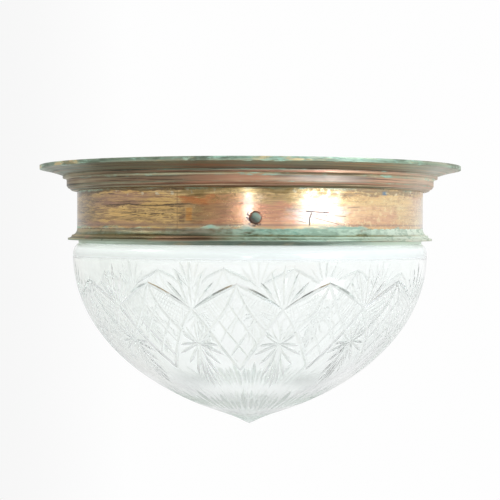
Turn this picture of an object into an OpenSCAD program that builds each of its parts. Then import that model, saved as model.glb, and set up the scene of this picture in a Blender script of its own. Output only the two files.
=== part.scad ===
// Ceiling lamp: a spun brass gallery that holds a cut glass bowl on three thumbscrews.
// Millimetres. The origin is the centre of the ceiling plane, +Z points up into the
// ceiling and -Y to the front, where the first thumbscrew is. The lamp hangs below z = 0.

/* [Gallery band] */
// Outside radius of the plain band
band_r = 148.5; // [146:0.5:170]
// Sheet thickness of the band
band_t = 1.2; // [0.8:0.1:1.8]
// Height of the band that shows between the mouldings
band_h = 31; // [28:0.5:45]
// How far the band runs up inside the cornice
band_lap = 7.5; // [3:0.5:9]

/* [Cornice] */
// Sheet thickness of the spun cornice
cornice_t = 1; // [0.6:0.1:1.4]
// Height of the outer rim at the ceiling
rim_h = 3.1; // [2:0.1:6]
// Width of the sloping soffit under the ceiling
soffit_w = 19.3; // [12:0.5:30]
// Drop of the soffit from the rim to the fillet
soffit_drop = 5.1; // [3:0.1:9]
// Sag of the soffit below the line between its ends
soffit_sag = 0.75; // [0.2:0.05:1.5]
// Height of the upright fillet under the soffit
fillet_h = 2.2; // [1:0.1:5]
// Width of the hollow cove
cove_w = 3.3; // [2:0.1:6]
// Height of the hollow cove
cove_h = 2.2; // [1.5:0.1:5]
// Height of the plain fascia under the cove
fascia_h = 4.4; // [2:0.1:10]
// Depth of the quirk between the fascia and the bead
quirk_w = 0.5; // [0.2:0.1:0.8]
// Width of the bead
bead_w = 2.4; // [1.5:0.1:4]
// Height of the bead
bead_h = 2.3; // [1.5:0.1:4]
// Width of the round ovolo at the foot of the cornice
ovolo_w = 4.4; // [3:0.1:7]
// Height of the ovolo
ovolo_h = 2.2; // [1.5:0.1:5]
// Width of the hem that is soldered to the band
hem_w = 1.6; // [1.2:0.1:3]

/* [Base moulding] */
// Width of the upper hollow
base_cove_w = 4.1; // [2:0.1:6]
// Height of the upper hollow
base_cove_h = 5.7; // [3:0.1:9]
// Size of the small step between the two hollows
base_step = 0.4; // [0.2:0.1:0.8]
// Width of the lower hollow
base_hollow_w = 3.3; // [2:0.1:6]
// Height of the lower hollow
base_hollow_h = 2.3; // [1.5:0.1:4]
// Height of the bottom edge
base_edge_h = 1.7; // [1:0.1:4]

/* [Inner collar] */
// Wall of the ring inside the band that the screws pass through
collar_t = 2.2; // [1.2:0.1:2.6]
// Height of the ring above the screws
collar_rise = 7.3; // [6.6:0.1:9]
// Depth of the ring that shows under the base moulding
collar_show = 2.6; // [1:0.1:5]

/* [Thumbscrews] */
// Number of thumbscrews around the band
screw_count = 3; // [3]
// Height of the screws above the top of the base moulding
screw_rise = 8.2; // [7:0.1:12]
// Radius of the screw's shank
shank_r = 2.35; // [1.6:0.05:2.6]
// Radius of the knurled head
head_r = 5; // [4:0.1:7]
// Length of the knurled head
head_l = 5; // [4:0.1:8]
// Rise of the dome on the head's face
head_dome = 1.5; // [0.5:0.1:2.5]
// Number of knurled grooves around the head
knurl_count = 24; // [12:1:30]
// Depth of a knurled groove
knurl_d = 0.4; // [0.2:0.05:0.6]
// Radius of the threaded ferrule on the band
ferrule_r = 4; // [3.2:0.1:6]
// Length of the ferrule outside the band
ferrule_l = 2.2; // [1:0.1:4]
// Space between the ferrule and the head with the screw home
head_gap = 1; // [0.4:0.1:3]

/* [Glass bowl] */
// How far the glass stands out past the band
bowl_reach = 3.5; // [1:0.1:12]
// Height from the widest line down to the tip
bowl_drop = 147.4; // [110:0.5:190]
// Height from the widest line up to the shoulder's crown
shoulder_h = 9.3; // [7:0.1:14]
// Wall of the glass at its widest line
glass_t = 6; // [4:0.1:8]
// Wall of the glass at the belly's foot
foot_t = 8; // [6:0.1:12]
// Pull of the outline straight down from the widest line
flank_pull = 53.25; // [40:0.25:65]
// Pull of the outline up from the foot of the belly
belly_pull = 88.4; // [60:0.2:100]
// Slope of the belly's foot, in degrees
belly_slope = 19.2; // [12:0.2:28]
// Radius at which the belly turns into the drawn tip
tip_base_r = 26.9; // [15:0.1:40]
// Height of the drawn tip below the belly's foot
tip_h = 12; // [8:0.1:18]
// Slope of the drawn tip at its point, in degrees
tip_slope = 30; // [26:1:40]
// Reach of the lip that hangs on the screws
lip_w = 3.6; // [2:0.1:4]
// Height of the lip
lip_h = 5; // [3:0.1:8]
// Space between the lip and the inner collar
lip_clear = 0.8; // [0.4:0.1:2]
// Wall of the glass neck below the lip
neck_t = 5.9; // [4:0.1:8]

/* [Ceiling plate] */
// Radius of the round plate
plate_r = 62; // [58:1:80]
// Sheet thickness of the plate and its arms
plate_t = 2; // [1.5:0.1:3]
// Width of an arm
arm_w = 24; // [18:1:30]
// Length of the foot at the end of an arm
foot_l = 18.3; // [15:0.1:26]
// How far an arm's foot is cranked down
crank_h = 16; // [12:0.5:20]
// Circle on which the ceiling screws lie, across
ceiling_pcd = 96; // [90:1:110]
// Radius of a hole for a ceiling screw
ceiling_hole_r = 2.75; // [2:0.05:3.5]
// Radius of the cable hole in the plate
cable_hole_r = 8; // [6:0.1:9]
// Radius of the bore in the rubber grommet
grommet_bore_r = 4; // [2.5:0.1:5]

/* [Lugs] */
// Sheet thickness of a soldered lug
lug_t = 1.6; // [1:0.1:2.4]
// How far a lug's sides lie inside the sides of its arm
lug_inset = 1; // [0:0.5:4]
// Length of the lug's ledge under the arm's foot
lug_ledge = 13; // [11:0.5:16]
// Height of the lug's leg on the band
lug_leg = 14; // [8:0.5:15]
// Radius of the small fixing screws
fix_r = 2; // [1.5:0.05:2.2]

/* [Lampholders] */
// Depth of the lampholders' axis below the ceiling
holder_z = 32; // [30:0.5:34]
// Space between a bulb's end and the glass neck
bulb_clear = 6.5; // [4:0.5:12]
// Sheet thickness of a bracket
bracket_t = 2; // [1.5:0.1:3]
// Width of a bracket
bracket_w = 24; // [20:1:30]
// Length of a bracket's base on the plate
bracket_base = 18; // [16:0.5:22]
// Radius of the threaded nipple
nipple_r = 5; // [4.5:0.1:6]
// Radius of the nipple's bore
nipple_bore_r = 3.6; // [3:0.1:3.8]
// Width of a nipple nut across its flats
nut_af = 14; // [13.5:0.5:17]
// Outside radius of a lampholder
holder_r = 19.5; // [18.5:0.1:21]
// Wall of the lampholder's sheet
holder_t = 0.8; // [0.5:0.1:1.2]
// Length of the lampholder's rounded cap
holder_cap_l = 17; // [15:0.5:20]
// Length of the lampholder's sleeve
holder_sleeve_l = 30; // [26:0.5:34]
// Length of the ceramic insert
insert_l = 10; // [8:0.5:12]

/* [Bulbs] */
// Radius of the bulb's ball
bulb_r = 22.5; // [20:0.5:23]
// Radius of the bulb's screw cap
bulb_cap_r = 13.1; // [12:0.1:13.2]
// Length of the bulb's screw cap
bulb_cap_l = 20; // [17:0.5:22]
// Distance from the cap's mouth to the middle of the ball
bulb_neck_l = 22.5; // [20:0.5:24]
// Wall of the bulb's glass
bulb_t = 0.6; // [0.4:0.1:1]

/* [Wiring] */
// Length of the terminal block
block_l = 38; // [36:1:44]
// Width of the terminal block
block_w = 16; // [14:0.5:18]
// Height of the terminal block
block_h = 11; // [10:0.5:13]
// Radius of a lead over its cover
lead_r = 1; // [0.7:0.05:1.1]

/* [Hidden] */
$fn = 96;

// Clearances
run_gap = 0.06;    // a round shank in its hole
seat_gap = 0.3;    // the glass above its screws and before their tips
slip_gap = 0.05;   // sheet parts pushed into each other
eps = 0.5;         // how far a cutting tool runs past what it cuts

// Radii of the cornice, from the band outwards
ovolo_r = band_r + hem_w;
bead_r = ovolo_r + ovolo_w;
fascia_r = bead_r + bead_w + quirk_w;
fillet_r = fascia_r + cove_w;
cornice_r = fillet_r + soffit_w;

// Levels, from the ceiling down
soffit_z = -rim_h - soffit_drop;
cove_z = soffit_z - fillet_h;
fascia_z = cove_z - cove_h;
bead_z = fascia_z - fascia_h;
ovolo_z = bead_z - bead_h;
cornice_z = ovolo_z - ovolo_h;
base_top_z = cornice_z - band_h;
base_h = base_cove_h + base_step + base_hollow_h + base_edge_h;
base_z = base_top_z - base_h;
base_r = band_r + base_cove_w + base_step + base_hollow_w;
band_in_r = band_r - band_t;
collar_in_r = band_in_r - collar_t;
collar_z = base_z - collar_show;

// Thumbscrews: the tips end in the groove under the glass lip
screw_z = base_top_z + screw_rise;
screw_first = -90;
screw_step = 360 / screw_count;
bore_r = shank_r + run_gap;
lip_r = collar_in_r - lip_clear;
neck_r = lip_r - lip_w;
tip_r = neck_r + seat_gap;
head_in_r = band_r + ferrule_l + head_gap;
head_wall = head_dome + 0.6;
shank_l = head_in_r + head_l - head_wall - tip_r;

// Glass bowl
bowl_r = band_r + bowl_reach;
lip_under_z = screw_z + shank_r + seat_gap;
lip_top_z = lip_under_z + lip_h;
shoulder_z = collar_z - 0.4;
wide_z = shoulder_z - shoulder_h;
tip_z = wide_z - bowl_drop;
belly_z = tip_z + tip_h;
tip_round = 1.5;
neck_in_r = neck_r - neck_t;
neck_round = 3;
shoulder_round = 5;
ledge_under_z = shoulder_z - glass_t;
hollow_round = min(2, (ledge_under_z - wide_z) / 2);
curve_steps = 26;

// Ceiling plate: its arms lie between the thumbscrews
arm_first = screw_first + screw_step / 2;
foot_gap = 1;
foot_r = band_in_r - foot_gap;
ledge_z = -crank_h - plate_t;
fix_hole_r = fix_r + slip_gap;
fix_head_r = fix_r * 1.75;
fix_head_l = fix_r * 1.2;
lug_screw_r = band_in_r - lug_ledge / 2 - lug_t / 2;
grommet_flange = 2.5;
grommet_flange_l = 2;

// Lampholders: lengths along their axis, then places outwards from the bracket's leg
leg_drop = 10;
nut_l = 3;
nipple_in = 7;
nipple_out = 7;
boss_r = 7.5;
shell_t = 0.7;
shell_gap = 2.4;
contact_h = 2.6;
bulb_cap_t = 0.4;
bulb_l = bulb_cap_l + bulb_neck_l + bulb_r;
holder_l = bracket_t + nut_l + holder_cap_l + insert_l + shell_t + contact_h;
bracket_x = neck_in_r - bulb_clear - bulb_l - holder_l;
bracket_screw_x = bracket_x + (bracket_t + bracket_base) / 2;
cap_x = bracket_x + bracket_t + nut_l;
insert_x = cap_x + holder_cap_l;
shell_x = insert_x + insert_l;
mouth_x = insert_x + holder_sleeve_l;
shell_in_r = bulb_cap_r + 0.3;
bulb_x = shell_x + shell_t + contact_h;
bulb_mouth_x = bulb_x + bulb_cap_l;
bulb_neck_r = bulb_cap_r - bulb_cap_t - slip_gap;

// Terminal block
block_y = 26;
way_count = 4;
way_pitch = 9;
way_z = -plate_t - block_h + 4.6;
way_r = lead_r + 0.5;
clamp_r = 1.5;
function way_x(i) = (i - (way_count - 1) / 2) * way_pitch;

// Quarter of an ellipse about centre c, from angle a0 to a1
function quarter(c, w, h, a0, a1, n = 8) =
    [for (i = [0:n]) let (a = a0 + (a1 - a0) * i / n) [c[0] + w * cos(a), c[1] + h * sin(a)]];

// Quadratic and cubic Bezier curves, as lists of points
function bow(a, b, c, n) =
    [for (i = [0:n]) let (t = i / n) (1 - t) * (1 - t) * a + 2 * t * (1 - t) * b + t * t * c];
function sweep4(a, b, c, d, n) =
    [for (i = [0:n]) let (t = i / n, u = 1 - t)
        u * u * u * a + 3 * u * u * t * b + 3 * u * t * t * c + t * t * t * d];

// Heading of a cubic Bezier curve at t
function heading4(a, b, c, d, t) =
    let (u = 1 - t) u * u * (b - a) + 2 * u * t * (c - b) + t * t * (d - c);

function moved(pts, d) = [for (p = pts) p + d];
function flipped(pts) = [for (i = [len(pts) - 1:-1:0]) pts[i]];
function tail(pts) = [for (i = [1:len(pts) - 1]) pts[i]];

// Outside line of the cornice from the ceiling down to its foot: every step goes inwards
cornice_line = concat(
    [[cornice_r, 0]],
    bow([cornice_r, -rim_h],
        [(cornice_r + fillet_r) / 2 - soffit_sag, (soffit_z - rim_h) / 2 + soffit_sag],
        [fillet_r, soffit_z], 6),
    quarter([fillet_r, fascia_z], cove_w, cove_h, 90, 180),
    [[fascia_r, bead_z]],
    quarter([bead_r, bead_z], bead_w, bead_h, 0, -90),
    tail(quarter([ovolo_r, ovolo_z], ovolo_w, ovolo_h, 0, -90))
);

// Outside line of the base moulding from its top down to its edge
base_line = concat(
    quarter([band_r + base_cove_w, base_top_z], base_cove_w, base_cove_h, 180, 270),
    quarter([base_r, base_top_z - base_cove_h - base_step], base_hollow_w, base_hollow_h, 180, 270, 6),
    [[base_r, base_z]]
);

// Outside line of the glass from the lip down over the shoulder to the tip
belly_foot = [tip_base_r, belly_z];
belly_dir = [cos(belly_slope), sin(belly_slope)];
tip_dir = [cos(tip_slope), sin(tip_slope)];
tip_reach = (tip_base_r * tip_dir[1] - tip_h * tip_dir[0])
    / (belly_dir[0] * tip_dir[1] - belly_dir[1] * tip_dir[0]);
tip_start = [0, tip_z] + tip_round * tip_dir;
belly = [[bowl_r, wide_z], [bowl_r, wide_z - flank_pull], belly_foot + belly_pull * belly_dir, belly_foot];
glass_out = concat(
    [[lip_r - 1, lip_top_z], [lip_r, lip_top_z - 1], [lip_r, lip_under_z], [neck_r, lip_under_z]],
    [[neck_r, shoulder_z - 0.4], [neck_r + 0.6, shoulder_z]],
    quarter([bowl_r - shoulder_round, wide_z], shoulder_round, shoulder_h, 90, 0, 10),
    tail(sweep4(belly[0], belly[1], belly[2], belly[3], curve_steps)),
    tail(bow(belly_foot, belly_foot - tip_reach * belly_dir, tip_start, 5)),
    [[0, tip_z + tip_round * tip_dir[1] * 0.5]]
);

// Inside line of the glass from the tip up to the lip: a wall that thickens down the belly
belly_in = [for (i = [0:curve_steps])
    let (t = i / curve_steps, way = heading4(belly[0], belly[1], belly[2], belly[3], t))
    sweep4(belly[0], belly[1], belly[2], belly[3], curve_steps)[i]
        + (glass_t + (foot_t - glass_t) * t * t) * [way[1], -way[0]] / norm(way)];
hollow_foot = belly_in[len(belly_in) - 1];
hollow_z = hollow_foot[1] - tan(belly_slope) * hollow_foot[0] / 2;
glass_in = concat(
    bow([0, hollow_z], [hollow_foot[0] / 2, hollow_z], hollow_foot, 6),
    tail(flipped(belly_in)),
    quarter([bowl_r - glass_t - hollow_round, ledge_under_z - hollow_round],
        hollow_round, hollow_round, 0, 90, 5),
    quarter([neck_in_r + neck_round, ledge_under_z + neck_round], neck_round, neck_round, 270, 180, 6),
    [[neck_in_r, lip_top_z - 0.8], [neck_in_r + 0.8, lip_top_z]]
);

// Routes of the two leads of one lampholder, from the terminal block to the insert
lead_apart = 1.4;
lead_run = 5;
lead_past = 10;
low_z = -holder_z - lead_apart;
high_z = -holder_z + lead_apart;
function lead_start(x) = [[x, block_y + 7, way_z], [x, block_y, way_z], [x, block_y - 7, way_z - 0.5]];
function lead_end(z, spread) = [
    [bracket_x - lead_run, 0, z], [bracket_x + lead_past, 0, z], [insert_x - lead_run, 0, z + spread * 0.6],
    [insert_x - 2, 0, z + spread], [insert_x, 0, z + spread]];
lead_routes = [
    concat(lead_start(way_x(2)),
        [[0.16 * bracket_x, 10, -15], [0.21 * bracket_x, 3, -23],
         [0.36 * bracket_x, 0, low_z + 3], [0.57 * bracket_x, 0, low_z + 0.4]],
        lead_end(low_z, -2.6)),
    concat(lead_start(way_x(3)),
        [[0.47 * bracket_x, 10, -14], [0.46 * bracket_x, 3.5, -20],
         [0.5 * bracket_x, 0.4, high_z + 5], [0.64 * bracket_x, 0, high_z + 0.6]],
        lead_end(high_z, 2.6))
];

// One point of a Catmull-Rom curve through the points of a route
function on_route(p, i, t) =
    let (n = len(p) - 1,
         a = p[max(i - 1, 0)], b = p[i], c = p[min(i + 1, n)], d = p[min(i + 2, n)])
    0.5 * (2 * b + (c - a) * t + (2 * a - 5 * b + 4 * c - d) * t * t
        + (3 * b - 3 * c + d - a) * t * t * t);

// A smooth tube of 8 sides along a route, closed at both ends
module tube_along(route, r) {
    sides = 8;
    cuts = 2;
    lean = [1, 1, -1];
    line = concat(
        [for (i = [0:len(route) - 2]) for (k = [0:cuts - 1]) on_route(route, i, k / cuts)],
        [route[len(route) - 1]]);
    last = len(line) - 1;
    rings = [for (i = [0:last])
        let (way = line[min(i + 1, last)] - line[max(i - 1, 0)],
             across = cross(way, lean) / norm(cross(way, lean)),
             up = cross(way, across) / norm(way))
        for (k = [0:sides - 1])
            line[i] + r * (cos(k * 360 / sides) * across + sin(k * 360 / sides) * up)];
    walls = [for (i = [0:last - 1]) for (k = [0:sides - 1])
        let (a = i * sides + k, b = i * sides + (k + 1) % sides)
        each [[a, a + sides, b + sides], [a, b + sides, b]]];
    start_cap = [for (k = [0:sides - 1]) k];
    end_cap = [for (k = [sides - 1:-1:0]) last * sides + k];
    polyhedron(points = rings, faces = concat([start_cap], walls, [end_cap]));
}

// Copies turned about the lamp's axis
module around(first, count = screw_count) {
    for (i = [0:count - 1]) rotate([0, 0, first + i * 360 / count]) children();
}

// A thing drawn upwards from z = 0, laid along +X at the screws' level
module at_screw(i) {
    rotate([0, 0, screw_first + i * screw_step]) translate([0, 0, screw_z]) rotate([0, 90, 0]) children();
}

// A thing drawn upwards from z = 0, laid along +X on the lampholders' axis
module on_holder_axis(x) {
    translate([x, 0, -holder_z]) rotate([0, 90, 0]) children();
}

module left() {
    rotate([0, 0, 180]) children();
}

module ring(r_in, r_out, z_low, z_high) {
    translate([0, 0, z_low]) difference() {
        cylinder(r = r_out, h = z_high - z_low);
        translate([0, 0, -eps]) cylinder(r = r_in, h = z_high - z_low + 2 * eps);
    }
}

// The radial holes for the thumbscrews
module screw_bores() {
    for (i = [0:screw_count - 1])
        at_screw(i) translate([0, 0, collar_in_r - eps])
            cylinder(r = bore_r, h = band_r + ferrule_l + 2 * eps - collar_in_r);
}

// A pan head screw that points up from z = 0, with its head below and a straight slot
module pan_screw(r, l) {
    difference() {
        union() {
            cylinder(r = r, h = l);
            rotate_extrude() polygon(concat(
                [[0, 0], [fix_head_r, 0]],
                quarter([fix_head_r - fix_head_l / 2, -fix_head_l / 2],
                    fix_head_l / 2, fix_head_l / 2, 0, -90, 4),
                [[0, -fix_head_l]]));
        }
        translate([0, 0, -fix_head_l]) cube([3 * fix_head_r, 0.9, fix_head_l], center = true);
    }
}

// Gallery

module cornice() {
    inner_line = moved(cornice_line, [-cornice_t, cornice_t]);
    color("peru") rotate_extrude() polygon(concat(
        cornice_line,
        [[band_r, cornice_z], [band_r, cornice_z + cornice_t]],
        flipped(tail(inner_line)),
        [[cornice_r - cornice_t, 0]]));
}

module gallery_band() {
    color("goldenrod") difference() {
        ring(band_in_r, band_r, base_z, cornice_z + band_lap);
        screw_bores();
    }
}

module base_moulding() {
    color("darkseagreen") rotate_extrude() polygon(concat(base_line, [[band_r, base_z]]));
}

module inner_collar() {
    color("darkolivegreen") difference() {
        ring(collar_in_r, band_in_r, collar_z, screw_z + collar_rise);
        screw_bores();
    }
}

// Threaded bushes that follow the band's curve on their inner side
module screw_ferrules() {
    chamfer = 0.4;
    color("saddlebrown") difference() {
        for (i = [0:screw_count - 1]) at_screw(i) translate([0, 0, band_r - 1]) rotate_extrude() polygon([
            [0, 0], [ferrule_r, 0], [ferrule_r, 1 + ferrule_l - chamfer],
            [ferrule_r - chamfer, 1 + ferrule_l], [0, 1 + ferrule_l]]);
        translate([0, 0, screw_z]) cylinder(r = band_r, h = 4 * ferrule_r, center = true, $fn = 720);
        screw_bores();
    }
}

// Thumbscrews

module thumbscrew_shank(i) {
    point_l = 0.9;
    color("darkgoldenrod") at_screw(i) translate([0, 0, tip_r]) rotate_extrude() polygon([
        [0, 0], [shank_r - point_l, 0], [shank_r, point_l], [shank_r, shank_l], [0, shank_l]]);
}

module thumbscrew_head(i) {
    edge = 0.5;
    seat = head_l - head_wall + slip_gap;
    color("rosybrown") at_screw(i) translate([0, 0, head_in_r]) difference() {
        rotate_extrude() polygon(concat(
            [[bore_r, 0], [head_r - edge, 0], [head_r, edge]],
            quarter([0, head_l - head_dome], head_r, head_dome, 0, 90, 8),
            [[0, seat], [bore_r, seat]]));
        for (k = [0:knurl_count - 1]) rotate([0, 0, k * 360 / knurl_count])
            translate([head_r, 0, head_l / 2]) rotate([0, 0, 45])
                cube([knurl_d * sqrt(2), knurl_d * sqrt(2), head_l + 2 * eps], center = true);
    }
}

// Glass

module glass_bowl() {
    color("azure") rotate_extrude() polygon(concat(glass_out, glass_in));
}

// Ceiling plate and what fixes the gallery to it

module ceiling_plate() {
    arm_in = foot_r - foot_l;
    color("gray") difference() {
        union() {
            translate([0, 0, -plate_t]) cylinder(r = plate_r, h = plate_t);
            around(arm_first) rotate([90, 0, 0]) linear_extrude(arm_w, center = true) polygon([
                [plate_r - arm_w, 0], [arm_in + plate_t, 0], [arm_in + plate_t, -crank_h],
                [foot_r, -crank_h], [foot_r, ledge_z], [arm_in, ledge_z],
                [arm_in, -plate_t], [plate_r - arm_w, -plate_t]]);
        }
        translate([0, 0, -plate_t - eps]) cylinder(r = cable_hole_r, h = plate_t + 2 * eps);
        around(45, 4) translate([ceiling_pcd / 2, 0, -plate_t - eps])
            cylinder(r = ceiling_hole_r, h = plate_t + 2 * eps);
        around(arm_first) translate([lug_screw_r, 0, ledge_z - eps])
            cylinder(r = fix_hole_r, h = plate_t + 2 * eps);
        plate_screw_places() translate([0, 0, -eps]) cylinder(r = fix_hole_r, h = plate_t + 2 * eps);
    }
}

// Where small screws enter the plate from below, each drawn upwards from the plate's underside
module plate_screw_places() {
    bracket_screw_places() children();
    block_screw_place() children();
    earth_screw_place() children();
}

module bracket_screw_places() {
    for (side = [-1, 1], y = [-1, 1])
        translate([side * bracket_screw_x, y * bracket_w * 0.3, -plate_t]) children();
}

module block_screw_place() {
    translate([0, block_y + block_w / 2, -plate_t]) children();
}

module earth_screw_place() {
    translate([0, -plate_r * 0.6, -plate_t]) children();
}

module cable_grommet() {
    color("dimgray") rotate_extrude() polygon([
        [grommet_bore_r, 0], [cable_hole_r, 0], [cable_hole_r, -plate_t],
        [cable_hole_r + grommet_flange, -plate_t],
        [cable_hole_r + grommet_flange, -plate_t - grommet_flange_l + 0.6],
        [cable_hole_r + grommet_flange - 0.6, -plate_t - grommet_flange_l],
        [grommet_bore_r, -plate_t - grommet_flange_l]]);
}

// Angle pieces soldered inside the band; each carries the band on an arm's foot
module gallery_lugs() {
    turn = (arm_w - 2 * lug_inset) / band_in_r * 180 / PI;
    color("darkkhaki") difference() {
        around(arm_first - turn / 2) rotate_extrude(angle = turn) polygon([
            [band_in_r - lug_ledge, ledge_z], [band_in_r, ledge_z],
            [band_in_r, ledge_z - lug_leg], [band_in_r - lug_t, ledge_z - lug_leg],
            [band_in_r - lug_t, ledge_z - lug_t], [band_in_r - lug_ledge, ledge_z - lug_t]]);
        around(arm_first) translate([lug_screw_r, 0, ledge_z - lug_t - eps])
            cylinder(r = fix_hole_r, h = lug_t + 2 * eps);
    }
}

module lug_screws() {
    color("silver") around(arm_first) translate([lug_screw_r, 0, ledge_z - lug_t])
        pan_screw(fix_r, lug_t + plate_t);
}

module bracket_screws() {
    color("silver") bracket_screw_places() translate([0, 0, -bracket_t])
        pan_screw(fix_r, bracket_t + plate_t - 0.2);
}

module block_screw() {
    color("silver") block_screw_place() translate([0, 0, -block_h + 3])
        pan_screw(fix_r, block_h - 3 + plate_t - 0.2);
}

module earth_screw() {
    color("gold") earth_screw_place() {
        pan_screw(fix_r, plate_t - 0.2);
    }
}

// Wiring

module terminal_block() {
    color("ivory") difference() {
        translate([0, block_y + block_w / 2, -plate_t - block_h]) linear_extrude(block_h)
            square([block_l, block_w], center = true);
        for (i = [0:way_count - 1]) {
            translate([way_x(i), block_y - eps, way_z]) rotate([-90, 0, 0])
                cylinder(r = way_r, h = block_w + 2 * eps);
            for (end = [0, 1]) clamp_place(i, end) translate([0, 0, -eps])
                cylinder(r = clamp_r + slip_gap, h = way_z + plate_t + block_h + eps);
        }
        block_screw_place() translate([0, 0, -block_h - eps])
            cylinder(r = fix_hole_r, h = block_h + 2 * eps);
        block_screw_place() translate([0, 0, -block_h - eps])
            cylinder(r = fix_head_r + 0.3, h = 3 + eps);
    }
}

// Under a way of the block, near its front or its back end
module clamp_place(i, end) {
    translate([way_x(i), block_y + block_w * (end == 0 ? 0.22 : 0.78), -plate_t - block_h]) children();
}

// Slotted screws that press on the leads from below
module terminal_screws() {
    reach = way_z - lead_r + plate_t + block_h;
    color("khaki") for (i = [0:way_count - 1], end = [0, 1]) clamp_place(i, end) difference() {
        translate([0, 0, 0.6]) cylinder(r = clamp_r, h = reach - 0.6);
        translate([0, 0, 0.6]) cube([4 * clamp_r, 0.6, 1.4], center = true);
    }
}

module lead_pair() {
    color("saddlebrown") for (route = lead_routes) tube_along(route, lead_r);
}

// One lampholder with its bulb, on the +X side

module bracket() {
    hole_r = nipple_r + slip_gap;
    color("gray") difference() {
        rotate([90, 0, 0]) linear_extrude(bracket_w, center = true) polygon([
            [bracket_x, -plate_t], [bracket_x + bracket_base, -plate_t],
            [bracket_x + bracket_base, -plate_t - bracket_t],
            [bracket_x + bracket_t, -plate_t - bracket_t],
            [bracket_x + bracket_t, -holder_z - leg_drop],
            [bracket_x, -holder_z - leg_drop]]);
        on_holder_axis(bracket_x - eps) cylinder(r = hole_r, h = bracket_t + 2 * eps);
        for (y = [-1, 1]) translate([bracket_screw_x, y * bracket_w * 0.3, -plate_t - bracket_t - eps])
            cylinder(r = fix_hole_r, h = bracket_t + 2 * eps);
    }
}

module nipple() {
    color("goldenrod") on_holder_axis(bracket_x - nipple_in) difference() {
        cylinder(r = nipple_r, h = nipple_in + bracket_t + nut_l + nipple_out);
        translate([0, 0, -eps])
            cylinder(r = nipple_bore_r, h = nipple_in + bracket_t + nut_l + nipple_out + 2 * eps);
    }
}

module nut() {
    difference() {
        cylinder(r = nut_af / 2 / cos(30), h = nut_l, $fn = 6);
        translate([0, 0, -eps]) cylinder(r = nipple_r + slip_gap, h = nut_l + 2 * eps);
    }
}

// One nut on each side of the bracket's leg
module nipple_nuts() {
    color("goldenrod") {
        on_holder_axis(bracket_x - nut_l) nut();
        on_holder_axis(bracket_x + bracket_t) nut();
    }
}

// Rounded cap: a boss on the nipple, a domed crown and a straight skirt
module holder_cap() {
    boss_l = 3;
    skirt_l = 5;
    crown_w = holder_r - boss_r;
    crown_h = holder_cap_l - skirt_l - boss_l;
    color("darkgoldenrod") on_holder_axis(cap_x) rotate_extrude() polygon(concat(
        [[nipple_r + slip_gap, 0], [boss_r, 0], [boss_r, boss_l]],
        quarter([boss_r, boss_l + crown_h], crown_w, crown_h, -90, 0),
        [[holder_r, holder_cap_l], [holder_r - holder_t, holder_cap_l]],
        quarter([boss_r, boss_l + crown_h], crown_w - holder_t, crown_h - holder_t, 0, -90),
        [[nipple_r + slip_gap, boss_l + holder_t]]));
}

// Sleeve: a spigot inside the cap's skirt, the body and a rolled lip at the mouth
module holder_sleeve() {
    spigot_l = 4.5;
    spigot_r = holder_r - holder_t - slip_gap;
    bead = 1.2;
    color("darkgoldenrod") on_holder_axis(insert_x) rotate_extrude() polygon(concat(
        [[spigot_r, -spigot_l], [spigot_r, 0], [holder_r, 0]],
        [[holder_r, holder_sleeve_l - 2 * bead]],
        quarter([holder_r, holder_sleeve_l - bead], bead, bead, -90, 90),
        [[spigot_r - holder_t, holder_sleeve_l], [spigot_r - holder_t, -spigot_l]]));
}

// Ceramic insert with a shallow collar round the threaded shell's foot
module holder_insert() {
    insert_r = holder_r - 2 * holder_t - 2 * slip_gap;
    shell_r = shell_in_r + shell_t;
    color("whitesmoke") on_holder_axis(insert_x) difference() {
        union() {
            cylinder(r = insert_r, h = insert_l);
            cylinder(r = shell_r + 2, h = insert_l + 2);
        }
        translate([0, 0, insert_l]) cylinder(r = shell_r + slip_gap, h = 2 + eps);
    }
}

// Screw shell: a cup with a hole in its floor, which is open to the bulb
module holder_shell() {
    floor_hole_r = 6;
    shell_l = mouth_x - shell_x - shell_gap;
    color("gold") on_holder_axis(shell_x) rotate_extrude() polygon([
        [floor_hole_r, 0], [shell_in_r + shell_t, 0], [shell_in_r + shell_t, shell_l],
        [shell_in_r, shell_l], [shell_in_r, shell_t], [floor_hole_r, shell_t]]);
}

// Spring tongue between the insert and the foot of the bulb
module centre_contact() {
    tongue_w = 4;
    tongue_t = 0.5;
    reach = bulb_x - shell_x;
    color("gold") on_holder_axis(shell_x) rotate([90, 0, 0]) linear_extrude(tongue_w, center = true)
        polygon([[-3.5, 0], [-1, 0], [3, reach - tongue_t], [3, reach], [-1, reach],
                 [-1, reach - tongue_t], [1.4, reach - tongue_t], [-1.4, tongue_t], [-3.5, tongue_t]]);
}

// Screw cap of the bulb: a metal shell that closes to an insulated foot with a contact
module bulb_cap() {
    taper = 3;
    foot_r = 5;
    color("silver") on_holder_axis(bulb_x) rotate_extrude() polygon([
        [0, 0], [foot_r, 0], [foot_r + 1, 1], [bulb_cap_r - 1, taper], [bulb_cap_r, taper + 1],
        [bulb_cap_r, bulb_cap_l], [bulb_cap_r - bulb_cap_t, bulb_cap_l],
        [bulb_cap_r - bulb_cap_t, taper + 1.4], [foot_r, 2], [0, 2]]);
}

// Line of the bulb's glass, d inside its outer face: a waisted neck, then the ball
neck_turn = 48;
function bulb_line(d) =
    let (r = bulb_r - d, neck = bulb_neck_r - d, way = [cos(neck_turn), sin(neck_turn)],
         joint = [r * way[1], bulb_neck_l - r * way[0]])
    concat([[neck, -6]],
        sweep4([neck, -1], [neck, 3], joint - 3.2 * way, joint, 6),
        tail(quarter([0, bulb_neck_l], r, r, neck_turn - 90, 90, 16)));

// Glass ball on a neck whose end is inside the screw cap
module bulb_glass() {
    color("white") on_holder_axis(bulb_mouth_x) rotate_extrude()
        polygon(concat(bulb_line(0), flipped(bulb_line(bulb_t))));
}

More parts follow.
